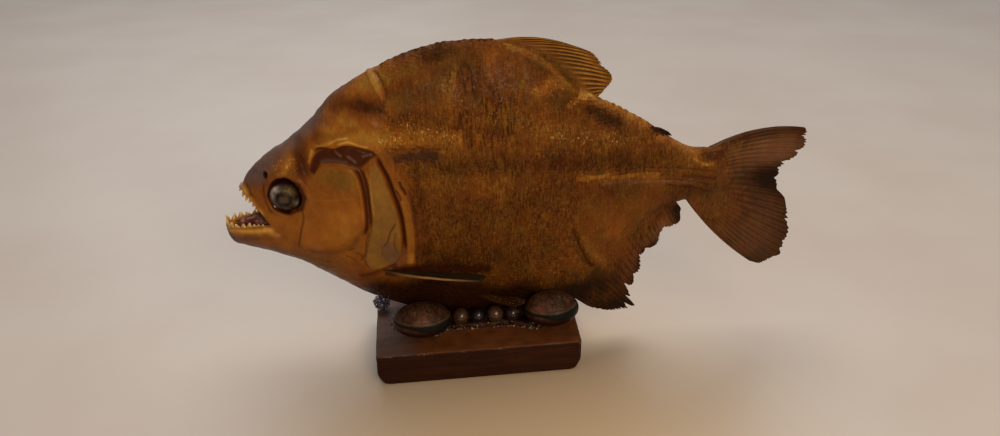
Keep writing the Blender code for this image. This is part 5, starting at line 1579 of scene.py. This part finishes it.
def seed_coat(name, *colours):
    """Polished seed coat. Each seed's own lot number picks its colour."""
    look = Look(name, coat=0.5, coat_roughness=0.06, specular=0.3)
    cloud = look.noise(1.6, 4.0, 0.6)
    look.colour = look.ramp(look.read("lot") + look.between(cloud, -0.10, 0.10), *colours)
    look.lay(look.read("navel") * 0.6, (0.10, 0.055, 0.030))
    look.bump(cloud, 0.04)
    return look.done(look.between(look.noise(0.9), 0.14, 0.32))


# ---- the pieces ----
def carry(piece, slot, *nodes):
    """Puts a piece on the fish's one body, in place of the nodes it remakes, which it hides. The slot is not
    used.
    """
    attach(piece, "root")
    if nodes:
        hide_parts(*nodes)


SKIN = tissue("dried_skin", 0.13)
SCALE = tissue("dried_scale", 0.02, scaly=True)
FIN = tissue("dried_fin_skin", 0.08)
TOOTH = ivory("dried_tooth")
EYEBALL = glassy_eye("dried_eyeball")
TONGUE = dried_flesh("shrunken_tongue")
WOOD = varnished_wood("worn_wood")
GLUE = cast_glue("dark_glue")
GRIT = gritty("pale_grit")
BEAN = bean_coat("bean_coat")
SEED = seed_coat("seed_coat", (0.0, (0.004, 0.003, 0.004)), (0.4, (0.010, 0.005, 0.004)),
                 (0.7, (0.030, 0.012, 0.006)), (1.0, (0.075, 0.032, 0.014)))
BEAD = seed_coat("bead_coat", (0.0, (0.014, 0.014, 0.026)), (0.5, (0.046, 0.044, 0.080)),
                 (0.8, (0.100, 0.088, 0.130)), (1.0, (0.16, 0.110, 0.100)))


def mark_skin(skin):
    """Paints the flank's markings on the skin, and the reddish inside of the mouth."""
    points = points_of(skin)
    x, y, z = points.T
    colours = marks(x, z)
    in_mouth = smoothstep(0.6, 2.2, depth_in(MOUTH_HOLLOW, x, z))
    in_mouth = in_mouth * smoothstep(0.7, 1.6, half_width(x, z) - np.abs(y))
    inner = dict.fromkeys(colours, 0.0)
    inner.update(tone=0.62, umber=0.45 + 0.40 * noise(points, 2.5, 5))
    paint(skin, **blended(colours, inner, in_mouth))


def make_body():
    skin = build_skin(SKIN)
    mark_skin(skin)
    carry(skin, "varnished_skin", "head", "gill_cover_left", "gill_cover_right", "lower_jaw", "upper_jaw",
          "trunk", "tail_stalk")
    for side, word in ((-1, "left"), (1, "right")):
        rng = np.random.default_rng(100 + side)
        places, normals, unwrapped = scale_places(skin, side, rng)
        upper = places[:, 2] > 66.0
        for half, chosen in (("upper", upper), ("lower", ~upper)):
            coat = build_scales(f"scales_{word}_{half}", SCALE, places[chosen], normals[chosen],
                                unwrapped[chosen], rng)
            carry(coat, "varnished_skin")


def make_fins():
    for seed, (name, fin) in enumerate(FINS.items(), 200):
        carry(build_fin(f"{name}_rays", FIN, fin, seed), "dried_fin", name)
    carry(build_fin("adipose_stub", FIN, ADIPOSE, 210), "dried_fin", "adipose_fin")
    for side, word in ((-1, "left"), (1, "right")):
        for seed, (name, fin) in enumerate(paired_fins(side).items(), 220 + 10 * side):
            carry(build_fin(f"{name}_{word}_rays", FIN, fin, seed), "dried_fin", f"{name}_{word}")


def make_mouth_and_eyes():
    lower = tooth_row("lower_teeth", TOOTH, LOWER_RIM, heights=(3.3, 2.5, 2.6, 2.2, 1.9, 1.6, 1.3, 1.1),
                      halves=(1.15, 1.25, 1.25, 1.15, 1.00, 0.85, 0.75, 0.65), worn=0.70,
                      lean_out=np.array((-0.10, 0.0, 1.0)), seed=301)
    carry(lower, "jaw_and_teeth")
    upper = tooth_row("upper_teeth", TOOTH, UPPER_RIM, heights=(1.7, 1.9, 1.9, 1.8, 1.9, 1.7, 1.2),
                      halves=(0.95, 1.00, 1.00, 0.95, 0.90, 0.85, 0.75), worn=0.9,
                      lean_out=np.array((-0.75, 0.0, -0.66)), seed=302)
    carry(upper, "jaw_and_teeth")
    carry(build_tongue(TONGUE), "dried_tongue", "tongue")
    for word in ("left", "right"):
        carry(build_eye(f"eyeball_{word}", EYEBALL, f"eye_{word}"), "dried_eye", f"eye_{word}")


def make_base():
    carry(build_block(WOOD), "varnished_wood", "base_block")
    carry(build_glue(GLUE), "glue", "resin_bed")
    carry(build_core(GLUE), "glue")
    carry(build_grit(GRIT, 520), "glue")
    for seed, place in enumerate(("front_left", "front_right", "rear_left", "rear_right")):
        carry(build_bean(f"bean_{place}_coat", BEAN, f"bean_{place}", seed), "brown_bean", f"bean_{place}")
    for seed, place in enumerate((f"{row}_{k}" for row in ("front", "rear") for k in range(1, 6)), 400):
        node = f"seed_{place}"
        carry(build_seed(f"{node}_coat", SEED, node, seed), "glossy_seed", node)
    for side, count, radius, seed in (("left", 150, 0.62, 420), ("right", 36, 0.60, 421)):
        node = f"seed_heap_{side}"
        carry(build_heap(f"bead_heap_{side}", BEAD, node, count, radius, seed), "glossy_seed", node)


make_body()
make_fins()
make_mouth_and_eyes()
make_base()


# ---- floor, light and camera ----
# Where the floor's painted shadow lies, warmed as if by the lamp, and how far it reaches.
PAINTED_SHADOW_SPOT = (12.0, -60.0, 0.0)
PAINTED_SHADOW_REACH = 115.0


def build_floor():
    reach = 3000.0
    look = Look("pale_floor", roughness=0.34, specular=0.45)
    look.colour = look.mix(look.between(look.noise(90.0), 0.0, 1.0), (0.58, 0.49, 0.42), (0.61, 0.53, 0.46))
    from_spot = look.vector("SUBTRACT", look.place, PAINTED_SHADOW_SPOT)
    distance = look.vector("LENGTH", from_spot, (0.0, 0.0, 0.0), "Value")
    # Painted shadow: a warm, darker patch on the floor in front of the block.
    look.lay(look.step(distance, PAINTED_SHADOW_REACH, 20.0, 0.0, 0.80), (0.560, 0.385, 0.200))
    look.bump(look.noise(6.0, 2.0), 0.02)
    corners = [(-reach, -reach, 0), (reach, -reach, 0), (reach, reach, 0), (-reach, reach, 0)]
    floor = new_object("floor", corners, [(0, 1, 2, 3)], look.done(), smooth=False)


def area_light(name, place, target, size, power, colour):
    """Rectangular light, placed and sized in millimetres."""
    data = bpy.data.lights.new(name, "AREA")
    data.shape = "RECTANGLE"
    data.size, data.size_y = (s * MM for s in size)
    data.energy = power
    data.color = colour
    light = bpy.data.objects.new(name, data)
    bpy.context.scene.collection.objects.link(light)
    light.location = Vector(place) * MM
    light.rotation_euler = (Vector(target) - Vector(place)).to_track_quat("-Z", "Y").to_euler()


def build_light():
    world = bpy.data.worlds.new("studio")
    world.use_nodes = True
    background = world.node_tree.nodes["Background"]
    background.inputs["Color"].default_value = (0.93, 0.96, 1.0, 1.0)
    background.inputs["Strength"].default_value = 0.19
    bpy.context.scene.world = world
    centre = (0.0, 0.0, 60.0)
    area_light("top_light", (60.0, 480.0, 1100.0), centre, (1300.0, 1000.0), 10.5, (1.0, 0.98, 0.97))
    area_light("window", (-300.0, 1500.0, 600.0), (0.0, 800.0, 0.0), (900.0, 500.0), 1.2, (0.90, 0.95, 1.0))
    area_light("lamp", (200.0, -330.0, 420.0), (60.0, -100.0, 0.0), (160.0, 160.0), 0.20, (1.0, 0.62, 0.28))
    area_light("front_fill", (250.0, -900.0, 500.0), centre, (600.0, 400.0), 4.4, (1.0, 0.80, 0.54))


CAMERA_PLACE = (-19.2, -257.6, 175.6)
CAMERA_YAW = math.radians(-6.5)
CAMERA_PITCH = math.radians(-25.3)
CAMERA_ROLL = math.radians(-0.88)
CAMERA_LENS = 28.76


def build_camera():
    data = bpy.data.cameras.new("camera")
    data.lens = CAMERA_LENS
    data.sensor_width = 36.0
    data.clip_start = 0.01
    camera = bpy.data.objects.new("camera", data)
    bpy.context.scene.collection.objects.link(camera)
    turn = (Matrix.Rotation(CAMERA_YAW, 4, "Z") @ Matrix.Rotation(math.pi / 2 + CAMERA_PITCH, 4, "X")
            @ Matrix.Rotation(CAMERA_ROLL, 4, "Z"))
    camera.matrix_world = Matrix.Translation(Vector(CAMERA_PLACE) * MM) @ turn
    bpy.context.scene.camera = camera
    bpy.context.scene.view_settings.view_transform = "Standard"


build_floor()
build_light()
build_camera()
